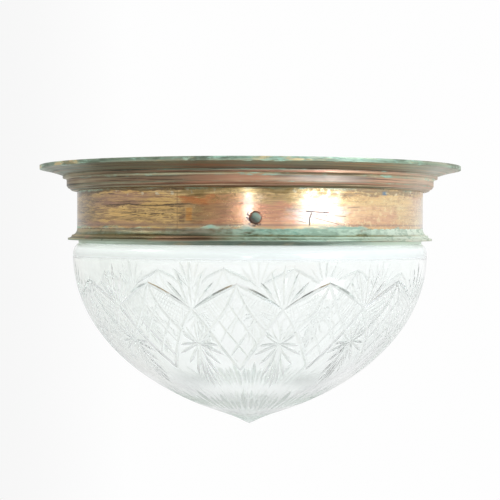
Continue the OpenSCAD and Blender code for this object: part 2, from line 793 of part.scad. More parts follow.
// Glass stem, two support wires and the filament between them
module bulb_filament() {
    stem_l = 14;
    wire_r = 0.4;
    spread = 7;
    rise = 8;
    color("lightgray") on_holder_axis(bulb_mouth_x) {
        rotate_extrude() polygon([
            [0, -6], [bulb_neck_r - bulb_t, -6], [bulb_neck_r - bulb_t, -5],
            [3, -3], [2.4, stem_l], [0, stem_l]]);
        for (side = [-1, 1]) {
            translate([0, side * 1.2, stem_l - 1]) rotate([-side * atan((spread - 1.2) / rise), 0, 0])
                cylinder(r = wire_r, h = norm([spread - 1.2, rise]));
        }
        translate([0, -spread - wire_r, stem_l - 1 + rise]) rotate([-90, 0, 0])
            cylinder(r = wire_r * 0.8, h = 2 * (spread + wire_r));
    }
}

ceiling_plate();
cable_grommet();
cornice();
gallery_band();
base_moulding();
inner_collar();
screw_ferrules();
gallery_lugs();
lug_screws();
earth_screw();
terminal_block();
terminal_screws();
block_screw();
bracket_screws();
bracket();  // right_bracket
nipple();  // right_nipple
nipple_nuts();  // right_nipple_nuts
holder_cap();  // right_holder_cap
holder_sleeve();  // right_holder_sleeve
holder_insert();  // right_holder_insert
holder_shell();  // right_holder_shell
centre_contact();  // right_centre_contact
bulb_cap();  // right_bulb_cap
bulb_glass();  // right_bulb_glass
bulb_filament();  // right_bulb_filament
lead_pair();  // right_leads
left() bracket();  // left_bracket
left() nipple();  // left_nipple
left() nipple_nuts();  // left_nipple_nuts
left() holder_cap();  // left_holder_cap
left() holder_sleeve();  // left_holder_sleeve
left() holder_insert();  // left_holder_insert
left() holder_shell();  // left_holder_shell
left() centre_contact();  // left_centre_contact
left() bulb_cap();  // left_bulb_cap
left() bulb_glass();  // left_bulb_glass
left() bulb_filament();  // left_bulb_filament
mirror([1, 0, 0]) lead_pair();  // left_leads
thumbscrew_shank(0);  // thumbscrew_1_shank
thumbscrew_head(0);  // thumbscrew_1_head
thumbscrew_shank(1);  // thumbscrew_2_shank
thumbscrew_head(1);  // thumbscrew_2_head
thumbscrew_shank(2);  // thumbscrew_3_shank
thumbscrew_head(2);  // thumbscrew_3_head
glass_bowl();
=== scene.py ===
"""A flush ceiling lamp: an old spun brass gallery holding a cut glass bowl on three thumbscrews.

Metres, in the frame of the solids: the origin is the centre of the ceiling plane, +Z points up
and -Y to the front. Angles round the lamp are counted from the front towards +X.
"""

import math

import bpy
import numpy as np
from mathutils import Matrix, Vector
from mathutils.geometry import delaunay_2d_cdt


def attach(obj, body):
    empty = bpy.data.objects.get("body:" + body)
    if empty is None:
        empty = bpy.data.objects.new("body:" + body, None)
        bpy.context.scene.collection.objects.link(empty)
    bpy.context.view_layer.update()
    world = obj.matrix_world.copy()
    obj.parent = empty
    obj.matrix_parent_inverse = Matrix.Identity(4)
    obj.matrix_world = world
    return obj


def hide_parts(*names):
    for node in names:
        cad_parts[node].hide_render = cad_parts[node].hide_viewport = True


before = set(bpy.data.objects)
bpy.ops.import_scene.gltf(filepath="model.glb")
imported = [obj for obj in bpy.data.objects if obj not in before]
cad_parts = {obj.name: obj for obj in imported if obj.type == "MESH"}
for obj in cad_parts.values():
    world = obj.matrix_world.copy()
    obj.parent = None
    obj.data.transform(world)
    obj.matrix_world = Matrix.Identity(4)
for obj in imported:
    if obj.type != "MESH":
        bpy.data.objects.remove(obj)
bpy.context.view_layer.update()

DEGREES = 180 / math.pi
MM = 1000

# Glass bowl, the same values as in the solids
BOWL_R = 0.152
WIDE_Z = -0.0749
SHOULDER_Z = -0.0656
SHOULDER_ROUND = 0.005
TIP_Z = -0.2223
TIP_ROUND = 0.0015
TIP_BASE_R = 0.0269
TIP_H = 0.012
TIP_SLOPE = math.radians(30)
FLANK_PULL = 0.05325
BELLY_PULL = 0.0884
BELLY_SLOPE = math.radians(19.2)
LIP_R = 0.1443
LIP_TOP_Z = -0.03665
LIP_UNDER_Z = -0.04165
NECK_R = 0.1407
NECK_IN_R = 0.1348
GLASS_T = 0.006
FOOT_T = 0.008

# Shoulder ground matt, the painted glow in it and dust in the cuts: heights, or radii, at which
# each starts and is full
MATT_Z = (-0.0792, -0.0732)
MATT_R = (0.1405, 0.1409)
PAINTED_GLOW_Z = (-0.0750, -0.0650)
DUSTY_Z = (-0.176, -0.188)

# How the bowl is divided: a tile runs from the line under a peak of the cut border to the
# line through a valley, and is repeated mirrored all round
REPEATS = 13
HALF_TILE = math.pi / REPEATS
TILE_COLUMNS = 5
COLUMNS = REPEATS * 2 * TILE_COLUMNS
PEAK_TURN = math.radians(-5.2)
POLE_R = 0.0022
ROW_STEP = 0.0052
# Half the stretch of outline over which a normal is taken, and the least radius reckoned with
NORMAL_REACH = 0.0004
LEAST_R = 0.002
# Points are welded on a grid of this many steps in a metre
WELD_GRID = 1e7
# The shader reads the cuts' depth in tenths of a millimetre
CUT_UNITS = 10000
# Edges sharper than this stay sharp in the cut glass
CREASE = math.radians(9)
# Nearness at which points count as one, and at which a cut belongs to a tile, in radians
SNAP = 1e-6
TILE_MARGIN = 0.02

# Camera: measured from the photograph's horizon, the lamp's axis and its ellipses
CAMERA_TURN = math.radians(-1.5)
CAMERA_AWAY = 1.063
CAMERA_Z = -0.0513
CAMERA_DIP = math.radians(1.076)
CAMERA_ROLL = math.radians(-0.2)
FOCAL_SHARE = 1225 / 500
SENSOR = 36

# Floor: height, half its side, and the distances between which it thins out
FLOOR_Z = -1.35
FLOOR_HALF = 2.4
FLOOR_FADE = (1.7, 2.35)
# Height of the middle of the lamp, at which every light looks
LAMP_MIDDLE_Z = -0.1


def placed(name, data):
    """A new object of the scene round its mesh, lens or lamp."""
    thing = bpy.data.objects.new(name, data)
    bpy.context.collection.objects.link(thing)
    return thing


def place_camera():
    """Stands in front of the lamp, level with the band, and dips slightly."""
    lens = bpy.data.cameras.new("camera")
    lens.sensor_width = SENSOR
    lens.lens = SENSOR * FOCAL_SHARE
    lens.clip_start = 0.05
    camera = placed("camera", lens)
    camera.location = (
        CAMERA_AWAY * math.sin(CAMERA_TURN),
        -CAMERA_AWAY * math.cos(CAMERA_TURN),
        CAMERA_Z,
    )
    camera.rotation_mode = "XYZ"
    camera.rotation_euler = (math.pi / 2 - CAMERA_DIP, CAMERA_ROLL, CAMERA_TURN)
    bpy.context.scene.camera = camera


# Node calls: each adds a node to the tree in hand and returns its output socket

in_hand = {}


def take_up(tree):
    """From here on, the calls below add to this tree."""
    in_hand.clear()
    in_hand["tree"] = tree


def put(socket, value):
    """Links a socket to another one, or sets its value; a colour gets an alpha of one."""
    if isinstance(value, bpy.types.NodeSocket):
        in_hand["tree"].links.new(value, socket)
    elif isinstance(value, tuple) and socket.type == "RGBA":
        socket.default_value = (*value, 1)
    else:
        socket.default_value = value


def feed(receiver, values):
    """Puts a value or link on several inputs of a node."""
    for key, value in values.items():
        put(receiver.inputs[key], value)


def node(kind, values=None, **settings):
    """A shader node of a kind, with its settings made and its inputs fed."""
    made = in_hand["tree"].nodes.new("ShaderNode" + kind)
    for key, value in settings.items():
        setattr(made, key, value)
    feed(made, values or {})
    return made


def maths(work, a, b=0.0, c=0.0):
    return node("Math", {0: a, 1: b, 2: c}, operation=work).outputs[0]


def add(first, *others):
    for other in others:
        first = maths("ADD", first, other)
    return first


def times(first, *others):
    for other in others:
        first = maths("MULTIPLY", first, other)
    return first


def most(first, *others):
    """The largest of all."""
    for other in others:
        first = maths("MAXIMUM", first, other)
    return first


def scaled(value, by, plus):
    """A value times a second one, plus a third."""
    return maths("MULTIPLY_ADD", value, by, plus)


def reach(a, b):
    """Root of the sum of two squares."""
    return maths("SQRT", add(times(a, a), times(b, b)))


def step(value, low, high, to_low=0.0, to_high=1.0):
    """Smooth change from to_low at low to to_high at high."""
    values = {"Value": value, "From Min": low, "From Max": high}
    values |= {"To Min": to_low, "To Max": to_high}
    return node("MapRange", values, interpolation_type="SMOOTHSTEP").outputs["Result"]


def here():
    """Object coordinates."""
    if "here" not in in_hand:
        in_hand["here"] = node("TexCoord").outputs["Object"]
    return in_hand["here"]


def split(vector):
    return node("SeparateXYZ", {0: vector}).outputs


def round_lamp():
    """Angle from the front in degrees towards +X, radius and height, in metres."""
    if "round" not in in_hand:
        x, y, z = split(here())
        in_hand["round"] = (times(maths("ARCTAN2", x, times(y, -1.0)), DEGREES), reach(x, y), z)
    return in_hand["round"]


def rings(around, up, out, shift=0.0):
    """Coordinates in which a noise runs in rings, whether the metal lies flat or upright."""
    _, radius, z = round_lamp()
    x, y, _ = split(here())
    across = add(times(z, up), times(radius, out), shift)
    return node("CombineXYZ", {0: times(x, around), 1: times(y, around), 2: across}).outputs[0]


def noise(vector, detail, rough, scale=1.0):
    values = {"Vector": vector, "Scale": scale, "Detail": detail, "Roughness": rough}
    return node("TexNoise", values).outputs[0]


def clouds(across, up, detail, rough, shift=(0.0, 0.0, 0.0)):
    """Noise in Object coordinates scaled across and up, so that it runs long or short."""
    scale = (across, across, up)
    vector = node("Mapping", {"Vector": here(), "Scale": scale, "Location": shift})
    return noise(vector.outputs[0], detail, rough)


def ramp(fac, stops):
    """Colour ramp through (place, colour) pairs; a single number stands for a grey."""
    made = node("ValToRGB", {"Fac": fac})
    band = made.color_ramp
    while len(band.elements) < len(stops):
        band.elements.new(0.5)
    for element, (place, colour) in zip(band.elements, stops):
        element.position = place
        element.color = (*colour, 1) if isinstance(colour, tuple) else (colour, colour, colour, 1)
    return made.outputs["Color"]


def by_height(level, low, high, stops):
    """Colour ramp over a height from low to high, through (height, colour) pairs, all in mm."""
    size = high - low
    places = [((mm - low) / size, colour) for mm, colour in stops]
    return ramp(scaled(level, 1 / size, -low / size), places)


def mix(share, a, b, blend="MIX"):
    return node("Mix", {0: share, 6: a, 7: b}, data_type="RGBA", blend_type=blend).outputs[2]


def bump(height, distance, strength):
    values = {"Height": height, "Distance": distance, "Strength": strength}
    return node("Bump", values).outputs["Normal"]


def finish_called(name, colour, metal, rough):
    """A new material with one Principled shader, and its tree taken up."""
    material = bpy.data.materials.new(name)
    material.use_nodes = True
    take_up(material.node_tree)
    shader = material.node_tree.nodes["Principled BSDF"]
    feed(shader, {"Base Color": colour, "Metallic": metal, "Roughness": rough})
    return material, shader


# Bowl outline: a profile by arc length


def bezier(a, b, c, d, t):
    """Cubic Bezier curve at every t."""
    t = np.asarray(t)[:, None]
    u = 1 - t
    return u**3 * a + 3 * u * u * t * b + 3 * u * t * t * c + t**3 * d


def bezier_way(a, b, c, d, t):
    """Heading of the cubic Bezier curve at every t, of unit length."""
    t = np.asarray(t)[:, None]
    u = 1 - t
    way = u * u * (b - a) + 2 * u * t * (c - b) + t * t * (d - c)
    return way / np.linalg.norm(way, axis=1)[:, None]


def bow(a, b, c, t):
    """Quadratic Bezier curve at every t."""
    t = np.asarray(t)[:, None]
    return (1 - t) ** 2 * a + 2 * t * (1 - t) * b + t * t * c


BELLY_FOOT = np.array([TIP_BASE_R, TIP_Z + TIP_H])
BELLY_WAY = np.array([math.cos(BELLY_SLOPE), math.sin(BELLY_SLOPE)])
TIP_WAY = np.array([math.cos(TIP_SLOPE), math.sin(TIP_SLOPE)])
TIP_REACH = (TIP_BASE_R * TIP_WAY[1] - TIP_H * TIP_WAY[0]) / (
    BELLY_WAY[0] * TIP_WAY[1] - BELLY_WAY[1] * TIP_WAY[0]
)
BELLY = (
    np.array([BOWL_R, WIDE_Z]),
    np.array([BOWL_R, WIDE_Z - FLANK_PULL]),
    BELLY_FOOT + BELLY_PULL * BELLY_WAY,
    BELLY_FOOT,
)
TIP_START = np.array([0, TIP_Z]) + TIP_ROUND * TIP_WAY


def bowl_profile():
    """Radius and height from the widest line down to the tip, with the way walked so far."""
    belly = bezier(*BELLY, np.linspace(0, 1, 400))
    tip = bow(BELLY_FOOT, BELLY_FOOT - TIP_REACH * BELLY_WAY, TIP_START, np.linspace(0, 1, 60))[1:]
    point = np.array([[0, TIP_Z + TIP_ROUND * TIP_WAY[1] * 0.5]])
    line = np.vstack([belly, tip, point])
    walked = np.concatenate([[0], np.cumsum(np.linalg.norm(np.diff(line, axis=0), axis=1))])
    return line[:, 0], line[:, 1], walked


PROFILE_R, PROFILE_Z, PROFILE_S = bowl_profile()


def radius_at(s):
    return np.interp(s, PROFILE_S, PROFILE_R)


def height_at(s):
    return np.interp(s, PROFILE_S, PROFILE_Z)


def way_to_z(z):
    """Way down the outline at which it reaches height z."""
    return np.interp(-z, -PROFILE_Z, PROFILE_S)


def way_to_r(radius):
    """Way down the outline at which it has come in to a radius."""
    return np.interp(-radius, -PROFILE_R, PROFILE_S)


def inward_at(s):
    """Unit normal of the outline, pointing into the glass, as radius and height parts."""
    r, z = (at(s + NORMAL_REACH) - at(s - NORMAL_REACH) for at in (radius_at, height_at))
    size = np.hypot(r, z)
    return z / size, -r / size


# Cuts in the bowl. A cut is its centre line, with a half width and a depth at each point.

LEAF = np.array([0.0, 0.55, 0.85, 1.0, 0.95, 0.7, 0.0])
LONG_LEAF = np.array([0.25, 0.6, 0.8, 0.92, 1.0, 0.9, 0.0])
BLADE = np.array([0.55, 0.95, 1.0, 1.0, 0.85, 0.55, 0.3])
EVEN = np.array([0.75, 1.0, 1.0, 1.0, 1.0, 1.0, 0.75])


def spread(shape, n):
    return np.interp(np.linspace(0, 1, n), np.linspace(0, 1, len(shape)), shape)


def cut_through(places, half_w, depth, shape, n=7):
    """A cut on a smooth line: a polynomial fitted to (degrees, height) places in their order."""
    turns = np.radians([p[0] for p in places])
    ways = np.array([way_to_z(p[1]) for p in places])
    at = np.linspace(0, 1, len(places))
    power = min(len(places) - 1, 4)
    turn, way = (
        np.polyval(np.polyfit(at, line, power), np.linspace(0, 1, n)) for line in (turns, ways)
    )
    size = spread(shape, n)
    return np.column_stack([turn, way, half_w * size, depth * size])


def cut_between(a, b, half_w, depth, n):
    """A straight even cut between two (turn, way) points."""
    t = np.linspace(0, 1, n)[:, None]
    line = (1 - t) * np.asarray(a) + t * np.asarray(b)
    size = spread(EVEN, n)
    return np.column_stack([line, half_w * size, depth * size])


def on_cut(cut, share):
    """Point on a cut's centre line at a share of its length in points."""
    at = np.linspace(0, 1, len(cut))
    return np.array([np.interp(share, at, cut[:, 0]), np.interp(share, at, cut[:, 1])])


PEAK_Z = -0.0942
VALLEY_Z = -0.1138
STAR_Z = -0.1410
NEST_Z = -0.1620
VALLEY_TURN = 180 / REPEATS


def bowl_cuts():
    """Every cut of one half tile, its peak line at 0 degrees, its valley line at VALLEY_TURN."""
    edge = VALLEY_TURN
    cuts = []
    # Border: the zigzag, the lines that drop from its peaks and the arches from its valleys
    arm = cut_through(
        [(0, PEAK_Z), (5, -0.1003), (9.5, -0.1068), (edge, VALLEY_Z)],
        0.0017, 0.0012, BLADE,
    )
    drop = cut_through(
        [(0, PEAK_Z - 0.001), (2.0, -0.1065), (4.6, -0.1172), (8.9, -0.1296), (edge, STAR_Z)],
        0.0016, 0.00052, EVEN, 11,
    )
    arch = cut_through(
        [(edge, VALLEY_Z), (10.0, -0.1262), (7.2, -0.1375), (4.2, -0.1485), (0, NEST_Z)],
        0.0018, 0.00056, EVEN, 11,
    )
    cuts += [arm, drop, arch]
    # Lattice in the diamond under each peak
    for on_drop, on_arch in ((0.31, 0.57), (0.59, 0.81)):
        start = on_cut(drop, on_drop) * (-1, 1)
        cuts.append(cut_between(start, on_cut(arch, on_arch), 0.0012, 0.00034, 5))
    # Fine hatching in the triangle between the arm, the drop and the arch
    fine = (0.0004, 0.00012, 3)
    for k in range(1, 6):
        cuts.append(cut_between(on_cut(drop, 0.75 * k / 6), on_cut(arch, 0.30 * k / 6), *fine))
    for k in range(12):
        share = 0.25 + 0.055 * k
        if share < 0.8:
            end = on_cut(drop, 0.75 * share / 0.85)
        else:
            end = on_cut(arch, 0.30 * (1 - share) / 0.2)
        cuts.append(cut_between(on_cut(arm, share), end, *fine))
    # Fans that rise from the valleys
    fans = (
        ((edge, -0.1112), (edge, -0.0790), 0.0017), ((13.0, -0.1108), (9.8, -0.0846), 0.0016),
        ((12.3, -0.1100), (6.6, -0.0922), 0.0015),
    )
    cuts += [cut_through(ends, half_w, half_w * 0.50, LEAF) for *ends, half_w in fans]
    # Stars under the valleys, with long hanging rays
    rays = (
        ((edge, -0.1600), (edge, -0.1800), 0.0018), ((13.0, -0.1580), (11.4, -0.1760), 0.0014),
        ((12.2, -0.1530), (9.0, -0.1690), 0.0018), ((11.6, -0.1480), (7.4, -0.1580), 0.0017),
        ((10.6, -0.1440), (5.3, -0.1500), 0.0016), ((10.4, -0.1412), (6.9, -0.1424), 0.0014),
        ((11.4, -0.1374), (8.9, -0.1332), 0.0013), ((12.3, -0.1346), (10.6, -0.1276), 0.0012),
        ((edge, -0.1326), (edge, -0.1230), 0.0012),
    )
    for *ends, half_w in rays:
        cuts.append(cut_through([(edge, STAR_Z), *ends], half_w, half_w * 0.46, LONG_LEAF))
    # Petals and a small star round the tip
    petals = (
        ((0, -0.2045), (0, -0.1830), 0.0026), ((4.9, -0.2035), (5.6, -0.1890), 0.0019),
        ((9.6, -0.2035), (9.0, -0.1900), 0.0017), ((edge, -0.2045), (edge, -0.1860), 0.0024),
        ((0, -0.2200), (0, -0.2068), 0.0013), ((6.9, -0.2190), (6.9, -0.2085), 0.0010),
        ((edge, -0.2200), (edge, -0.2072), 0.0013),
    )
    return cuts + [cut_through(ends, half_w, half_w * 0.62, LEAF) for *ends, half_w in petals]


def mirrored_about(cut, turn):
    other = cut.copy()
    other[:, 0] = 2 * turn - other[:, 0]
    return other


def clipped(a, b, low, high):
    """The part of a segment whose first coordinate lies between low and high, or None."""
    if a[0] > b[0]:
        a, b = b, a
    if b[0] <= low or a[0] >= high:
        return None
    if b[0] - a[0] < 1e-12:
        return a, b
    start, end = a, b
    if a[0] < low:
        start = a + (b - a) * (low - a[0]) / (b[0] - a[0])
        start[0] = low
    if b[0] > high:
        end = a + (b - a) * (high - a[0]) / (b[0] - a[0])
        end[0] = high
    return start, end


def cut_depths(points, cuts):
    """Depth of the cut glass at each (turn, way) point: the deepest of all V grooves there.

    A groove's depth at a point is its own depth times one less the share of its half width
    that the point lies from its centre line, measured on the surface.
    """
    depth = np.zeros(len(points))
    radius = np.maximum(radius_at(points[:, 1]), LEAST_R)
    for cut in cuts:
        for a, b in zip(cut[:-1], cut[1:]):
            du = (points[:, 0] - a[0]) * radius
            dv = points[:, 1] - a[1]
            su = (b[0] - a[0]) * radius
            sv = b[1] - a[1]
            t = np.clip((du * su + dv * sv) / np.maximum(su * su + sv * sv, 1e-14), 0, 1)
            away = np.hypot(du - t * su, dv - t * sv)
            half_w = np.maximum(a[2] + t * (b[2] - a[2]), 1e-6)
            deep = a[3] + t * (b[3] - a[3])
            depth = np.maximum(depth, deep * np.clip(1 - away / half_w, 0, 1))
    return depth


def edge_lines(cut):
    """Left edge, centre and right edge of a cut as (turn, way) lines, at its true width."""
    radius = np.maximum(radius_at(cut[:, 1]), LEAST_R)
    way = np.gradient(cut[:, :2] * np.column_stack([radius, np.ones(len(cut))]), axis=0)
    side = np.column_stack([-way[:, 1], way[:, 0]]) / np.linalg.norm(way, axis=1)[:, None]
    off = side * cut[:, 2:3] / np.column_stack([radius, np.ones(len(cut))])
    return cut[:, :2] + off, cut[:, :2], cut[:, :2] - off


def half_tile_mesh():
    """Points (turn, way), triangles and depths of one half tile, cut lines kept as edges."""
    cuts = [
        copy for cut in bowl_cuts()
        for copy in (cut, mirrored_about(cut, 0.0), mirrored_about(cut, HALF_TILE))
        if copy[:, 0].max() > -TILE_MARGIN and copy[:, 0].min() < HALF_TILE + TILE_MARGIN
    ]
    low_s = 0.0
    high_s = float(way_to_r(POLE_R))
    # The tile is laid out flat at about its real size: its turn counts times this radius
    wide = BOWL_R
    points, edges = [], []

    def line_of(places):
        first = len(points)
        points.extend(places)
        edges.extend((i, i + 1) for i in range(first, len(points) - 1))

    columns = np.linspace(0, HALF_TILE, TILE_COLUMNS + 1)
    line_of([(c * wide, low_s) for c in columns])
    line_of([(c * wide, high_s) for c in (0, HALF_TILE / 2, HALF_TILE)])
    rows = np.linspace(low_s, high_s, int((high_s - low_s) / ROW_STEP) + 1)
    line_of([(0.0, s) for s in rows])
    line_of([(HALF_TILE * wide, s) for s in rows])
    for i, s in enumerate(rows[1:-1]):
        count = max(int(round(float(radius_at(s)) * HALF_TILE / ROW_STEP)), 1)
        shift = 0.5 if i % 2 else 0.25
        for k in range(count):
            points.append(((k + shift + 0.12) / (count + 0.24) * HALF_TILE * wide, s))
    for cut in cuts:
        for line in edge_lines(cut):
            for a, b in zip(line[:-1], line[1:]):
                part = clipped(a.copy(), b.copy(), 0.0, HALF_TILE)
                if part is not None:
                    line_of([(p[0] * wide, p[1]) for p in part])
    flat = [Vector(p) for p in points]
    found, _, faces, _, _, _ = delaunay_2d_cdt(flat, edges, [], 0, SNAP, False)
    at = np.array([(p[0] / wide, p[1]) for p in found])
    at[at[:, 0] < SNAP, 0] = 0
    at[at[:, 0] > HALF_TILE - SNAP, 0] = HALF_TILE
    faces = np.array([f for f in faces if len(f) == 3])
    # A sliver whose corners all lie on the tile's edge would fold onto its mirror image
    turns = at[faces, 0]
    faces = faces[np.ptp(turns, axis=1) > 0]
    return at, faces, cut_depths(at, cuts)


def laid_round(at, depth):
    """Places in space of (turn, way) points, each pushed into the glass by its depth."""
    in_r, in_z = inward_at(at[:, 1])
    r = radius_at(at[:, 1]) + in_r * depth
    z = height_at(at[:, 1]) + in_z * depth
    turn = at[:, 0] + PEAK_TURN
    return np.column_stack([r * np.sin(turn), -r * np.cos(turn), z])


def welded(parts):
    """One mesh from (points, triangles, depths) parts whose shared points fall together."""
    xyz, faces, depth, first = [], [], [], 0
    for p, f, d in parts:
        xyz.append(p)
        faces.append(f + first)
        depth.append(d)
        first += len(p)
    xyz = np.vstack(xyz)
    depth = np.concatenate(depth)
    key = np.round(xyz * WELD_GRID).astype(np.int64)
    _, keep, back = np.unique(key, axis=0, return_index=True, return_inverse=True)
    faces = back.reshape(-1)[np.vstack(faces)]
    # A face keeps three corners that all differ
    whole = (faces != np.roll(faces, 1, axis=1)).all(axis=1)
    return xyz[keep], faces[whole], depth[keep]


def revolved(profile):
    """A profile of (radius, height) rows turned about the axis: points, triangles and depths.

    Rows run along the profile and columns round the lamp; a face looks to the right of the
    profile's own direction seen with the radius to the right and the height up.
    """
    turn = PEAK_TURN + np.arange(COLUMNS) * 2 * math.pi / COLUMNS
    r = profile[:, 0][:, None]
    z = np.repeat(profile[:, 1][:, None], COLUMNS, axis=1)
    xyz = np.stack([r * np.sin(turn), -r * np.cos(turn), z], axis=2).reshape(-1, 3)
    row = np.arange(len(profile) - 1)[:, None] * COLUMNS
    a = (row + np.arange(COLUMNS)).reshape(-1)
    b = (row + (np.arange(COLUMNS) + 1) % COLUMNS).reshape(-1)
    faces = np.vstack([
        np.column_stack([b + COLUMNS, b, a]),
        np.column_stack([a + COLUMNS, b + COLUMNS, a]),
    ])
    return xyz, faces, np.zeros(len(xyz))


def mesh_object(name, xyz, faces):
    mesh = bpy.data.meshes.new(name)
    mesh.from_pydata(xyz.tolist(), [], faces.tolist())
    mesh.update()
    mesh.shade_smooth()
    return placed(name, mesh)


def glass_inner_line():
    """Inner wall from the pole up to the rim, the outline set in by a wall that grows downwards."""
    t = np.linspace(0, 1, 60)
    wall = GLASS_T + (FOOT_T - GLASS_T) * t * t
    way = bezier_way(*BELLY, t)
    inner = bezier(*BELLY, t) + wall[:, None] * np.column_stack([way[:, 1], -way[:, 0]])
    foot = inner[-1]
    hollow_z = foot[1] - math.tan(BELLY_SLOPE) * foot[0] / 2
    pole, bend = np.array([[0, hollow_z], [foot[0] / 2, hollow_z]])
    floor = bow(pole, bend, foot, np.linspace(0.08, 1, 14))
    corner = np.array([inner[0][0], SHOULDER_Z - GLASS_T])
    turn = np.linspace(0, math.pi / 2, 7)
    out_r, in_r = 0.002, 0.003
    neck = np.vstack([
        corner - out_r + out_r * np.column_stack([np.cos(turn), np.sin(turn)]),
        np.array([NECK_IN_R + in_r, corner[1] + in_r])
        - in_r * np.column_stack([np.sin(turn), np.cos(turn)]),
    ])
    lip = np.array([[NECK_IN_R, -0.05], [NECK_IN_R, LIP_TOP_Z - 0.0008],
                    [NECK_IN_R + 0.0003, LIP_TOP_Z - 0.0002], [NECK_IN_R + 0.0008, LIP_TOP_Z]])
    return np.vstack([floor, inner[::-1][1:], neck, lip]), hollow_z


def glass_upper_line():
    """Outer wall from the rim down over the lip and the shoulder to the widest line."""
    a = np.linspace(math.pi / 2, 0, 16)
    shoulder = np.column_stack([
        BOWL_R - SHOULDER_ROUND + SHOULDER_ROUND * np.cos(a),
        WIDE_Z + (SHOULDER_Z - WIDE_Z) * np.sin(a),
    ])
    return np.vstack([
        [[LIP_R - 0.001, LIP_TOP_Z], [LIP_R - 0.0003, LIP_TOP_Z - 0.0003],
         [LIP_R, LIP_TOP_Z - 0.001], [LIP_R, LIP_UNDER_Z], [NECK_R, LIP_UNDER_Z],
         [NECK_R, -0.055], [NECK_R, SHOULDER_Z - 0.0004], [NECK_R + 0.0006, SHOULDER_Z]],
        shoulder,
    ])


def make_bowl():
    """The cut bowl: a half tile of cuts copied and mirrored round the lamp, plain inner walls."""
    at, faces, depth = half_tile_mesh()
    parts = []
    for k in range(REPEATS):
        for side in (1, -1):
            copy = at.copy()
            copy[:, 0] = side * at[:, 0] + k * 2 * HALF_TILE
            parts.append((laid_round(copy, depth), faces[:, ::side], depth))
    # The tile's triangles run anticlockwise with the way downwards, so they look inwards
    a, b, c = (parts[0][0][corner] for corner in faces.T)
    outward = np.einsum("ij,ij->i", np.cross(b - a, c - a), (a + b + c) * (1, 1, 0)).sum()
    if outward < 0:
        parts = [(p, f[:, ::-1], d) for p, f, d in parts]
    # Pole
    count = REPEATS * 4
    turns = np.arange(count) * 2 * math.pi / count
    ring = np.column_stack([turns, np.full(count, float(way_to_r(POLE_R)))])
    pole = np.vstack([laid_round(ring, np.zeros(count)), [[0, 0, PROFILE_Z[-1]]]])
    i = np.arange(count)
    pole_faces = np.column_stack([i, np.full(count, count), (i + 1) % count])
    parts.append((pole, pole_faces, np.zeros(count + 1)))
    # Plain walls: outside from the rim down to the widest line, inside from the pole to the rim
    upper = glass_upper_line()
    inner, hollow_z = glass_inner_line()
    parts += [revolved(upper), revolved(inner)]
    cap = np.vstack([parts[-1][0][:COLUMNS], [[0, 0, hollow_z]]])
    i = np.arange(COLUMNS)
    cap_faces = np.column_stack([i, (i + 1) % COLUMNS, np.full(COLUMNS, COLUMNS)])
    parts.append((cap, cap_faces, np.zeros(COLUMNS + 1)))
    parts.append(revolved(np.vstack([inner[-1], upper[0]])))
    xyz, faces, depth = welded(parts)
    bowl = mesh_object("cut_glass_bowl", xyz, faces)
    mesh = bowl.data
    mark = mesh.attributes.new("cut", "FLOAT", "POINT")
    mark.data.foreach_set("value", depth * CUT_UNITS)
    mesh.set_sharp_from_angle(angle=CREASE)
    return bowl


def cut_glass():
    """Clear, faintly green glass, softer and dusty in the cuts, its shoulder ground matt with a
    painted glow.
    """
    material, shader = finish_called("cut_glass", (0.93, 0.96, 0.95), 0.0, 0.02)
    depth = node("Attribute", attribute_name="cut").outputs["Fac"]
    cut = step(depth, 0.0, 1.0)
    _, radius, z = round_lamp()
    ground = times(step(z, *MATT_Z), step(radius, *MATT_R))
    polish = step(cut, 0.0, 1.0, 0.05, 0.13)
    # Dust dulls the cuts, most of all round the tip
    dusty = mix(step(z, *DUSTY_Z), (0.93, 0.955, 0.945), (0.70, 0.76, 0.72))
    clear = mix(cut, (0.966, 0.985, 0.978), dusty)
    feed(shader, {
        "IOR": 1.52,
        "Transmission Weight": step(ground, 0.0, 1.0, 1.0, 0.25),
        "Roughness": most(polish, times(ground, 0.45)),
        "Base Color": mix(ground, clear, (0.83, 0.875, 0.845)),
        # Painted glow: the matt glass emits light, most of it under the collar, where shade falls
        "Emission Color": (0.93, 0.98, 0.97),
        "Emission Strength": times(step(z, *PAINTED_GLOW_Z), ground, 0.42),
        # Its outer face is polished, so it mirrors the lamps
        "Coat Weight": ground,
        "Coat Roughness": 0.08,
    })
    return material


# Old metals. Colours are linear; a metal shows them times what it mirrors.

GOLD = (0.7, 0.46, 0.22)
PALE_GOLD = (0.86, 0.66, 0.36)
COPPER = (0.74, 0.41, 0.25)
ORANGE = (0.8, 0.38, 0.1)
PLUM = (0.46, 0.27, 0.21)
UMBER = (0.3, 0.19, 0.11)
SOOT = (0.085, 0.066, 0.048)
OLIVE = (0.4, 0.34, 0.19)
VERDIGRIS = (0.22, 0.42, 0.32)
PALE_VERDIGRIS = (0.44, 0.63, 0.49)
PAINT = (0.34, 0.35, 0.33)

# In mm: the thumbscrews' height, the radius of the middle of their heads, and the band's radius
SCREW_Z = -44.3
SCREW_HEAD_R = 154.2
BAND_R = 148.5
# Radii between which the paint inside the rings ends, and between which a screw's shank begins
BAND_INSIDE_R = (148.1, 147.9)
CORNICE_INSIDE_R = (149.4, 149)
COLLAR_INSIDE_R = (145.9, 145.6)
SHANK_R = (151, 150.4)
# Degrees between which a field at one side fades out again, at the back
BACK = (110, 175)


class Coat:
    """A colour socket with the layers laid over it."""

    def __init__(self, colour):
        self.colour = colour

    def lay(self, paint, strength, *shares):
        """One more layer, seen as far as the product of its strength and shares lets it."""
        self.colour = mix(times(*shares, strength), self.colour, paint)


def window(value, low, high, soft):
    """One between low and high, falling softly to nothing outside them."""
    rise = step(value, low - soft, low + soft)
    fall = step(value, high - soft, high + soft, 1, 0)
    return times(rise, fall)


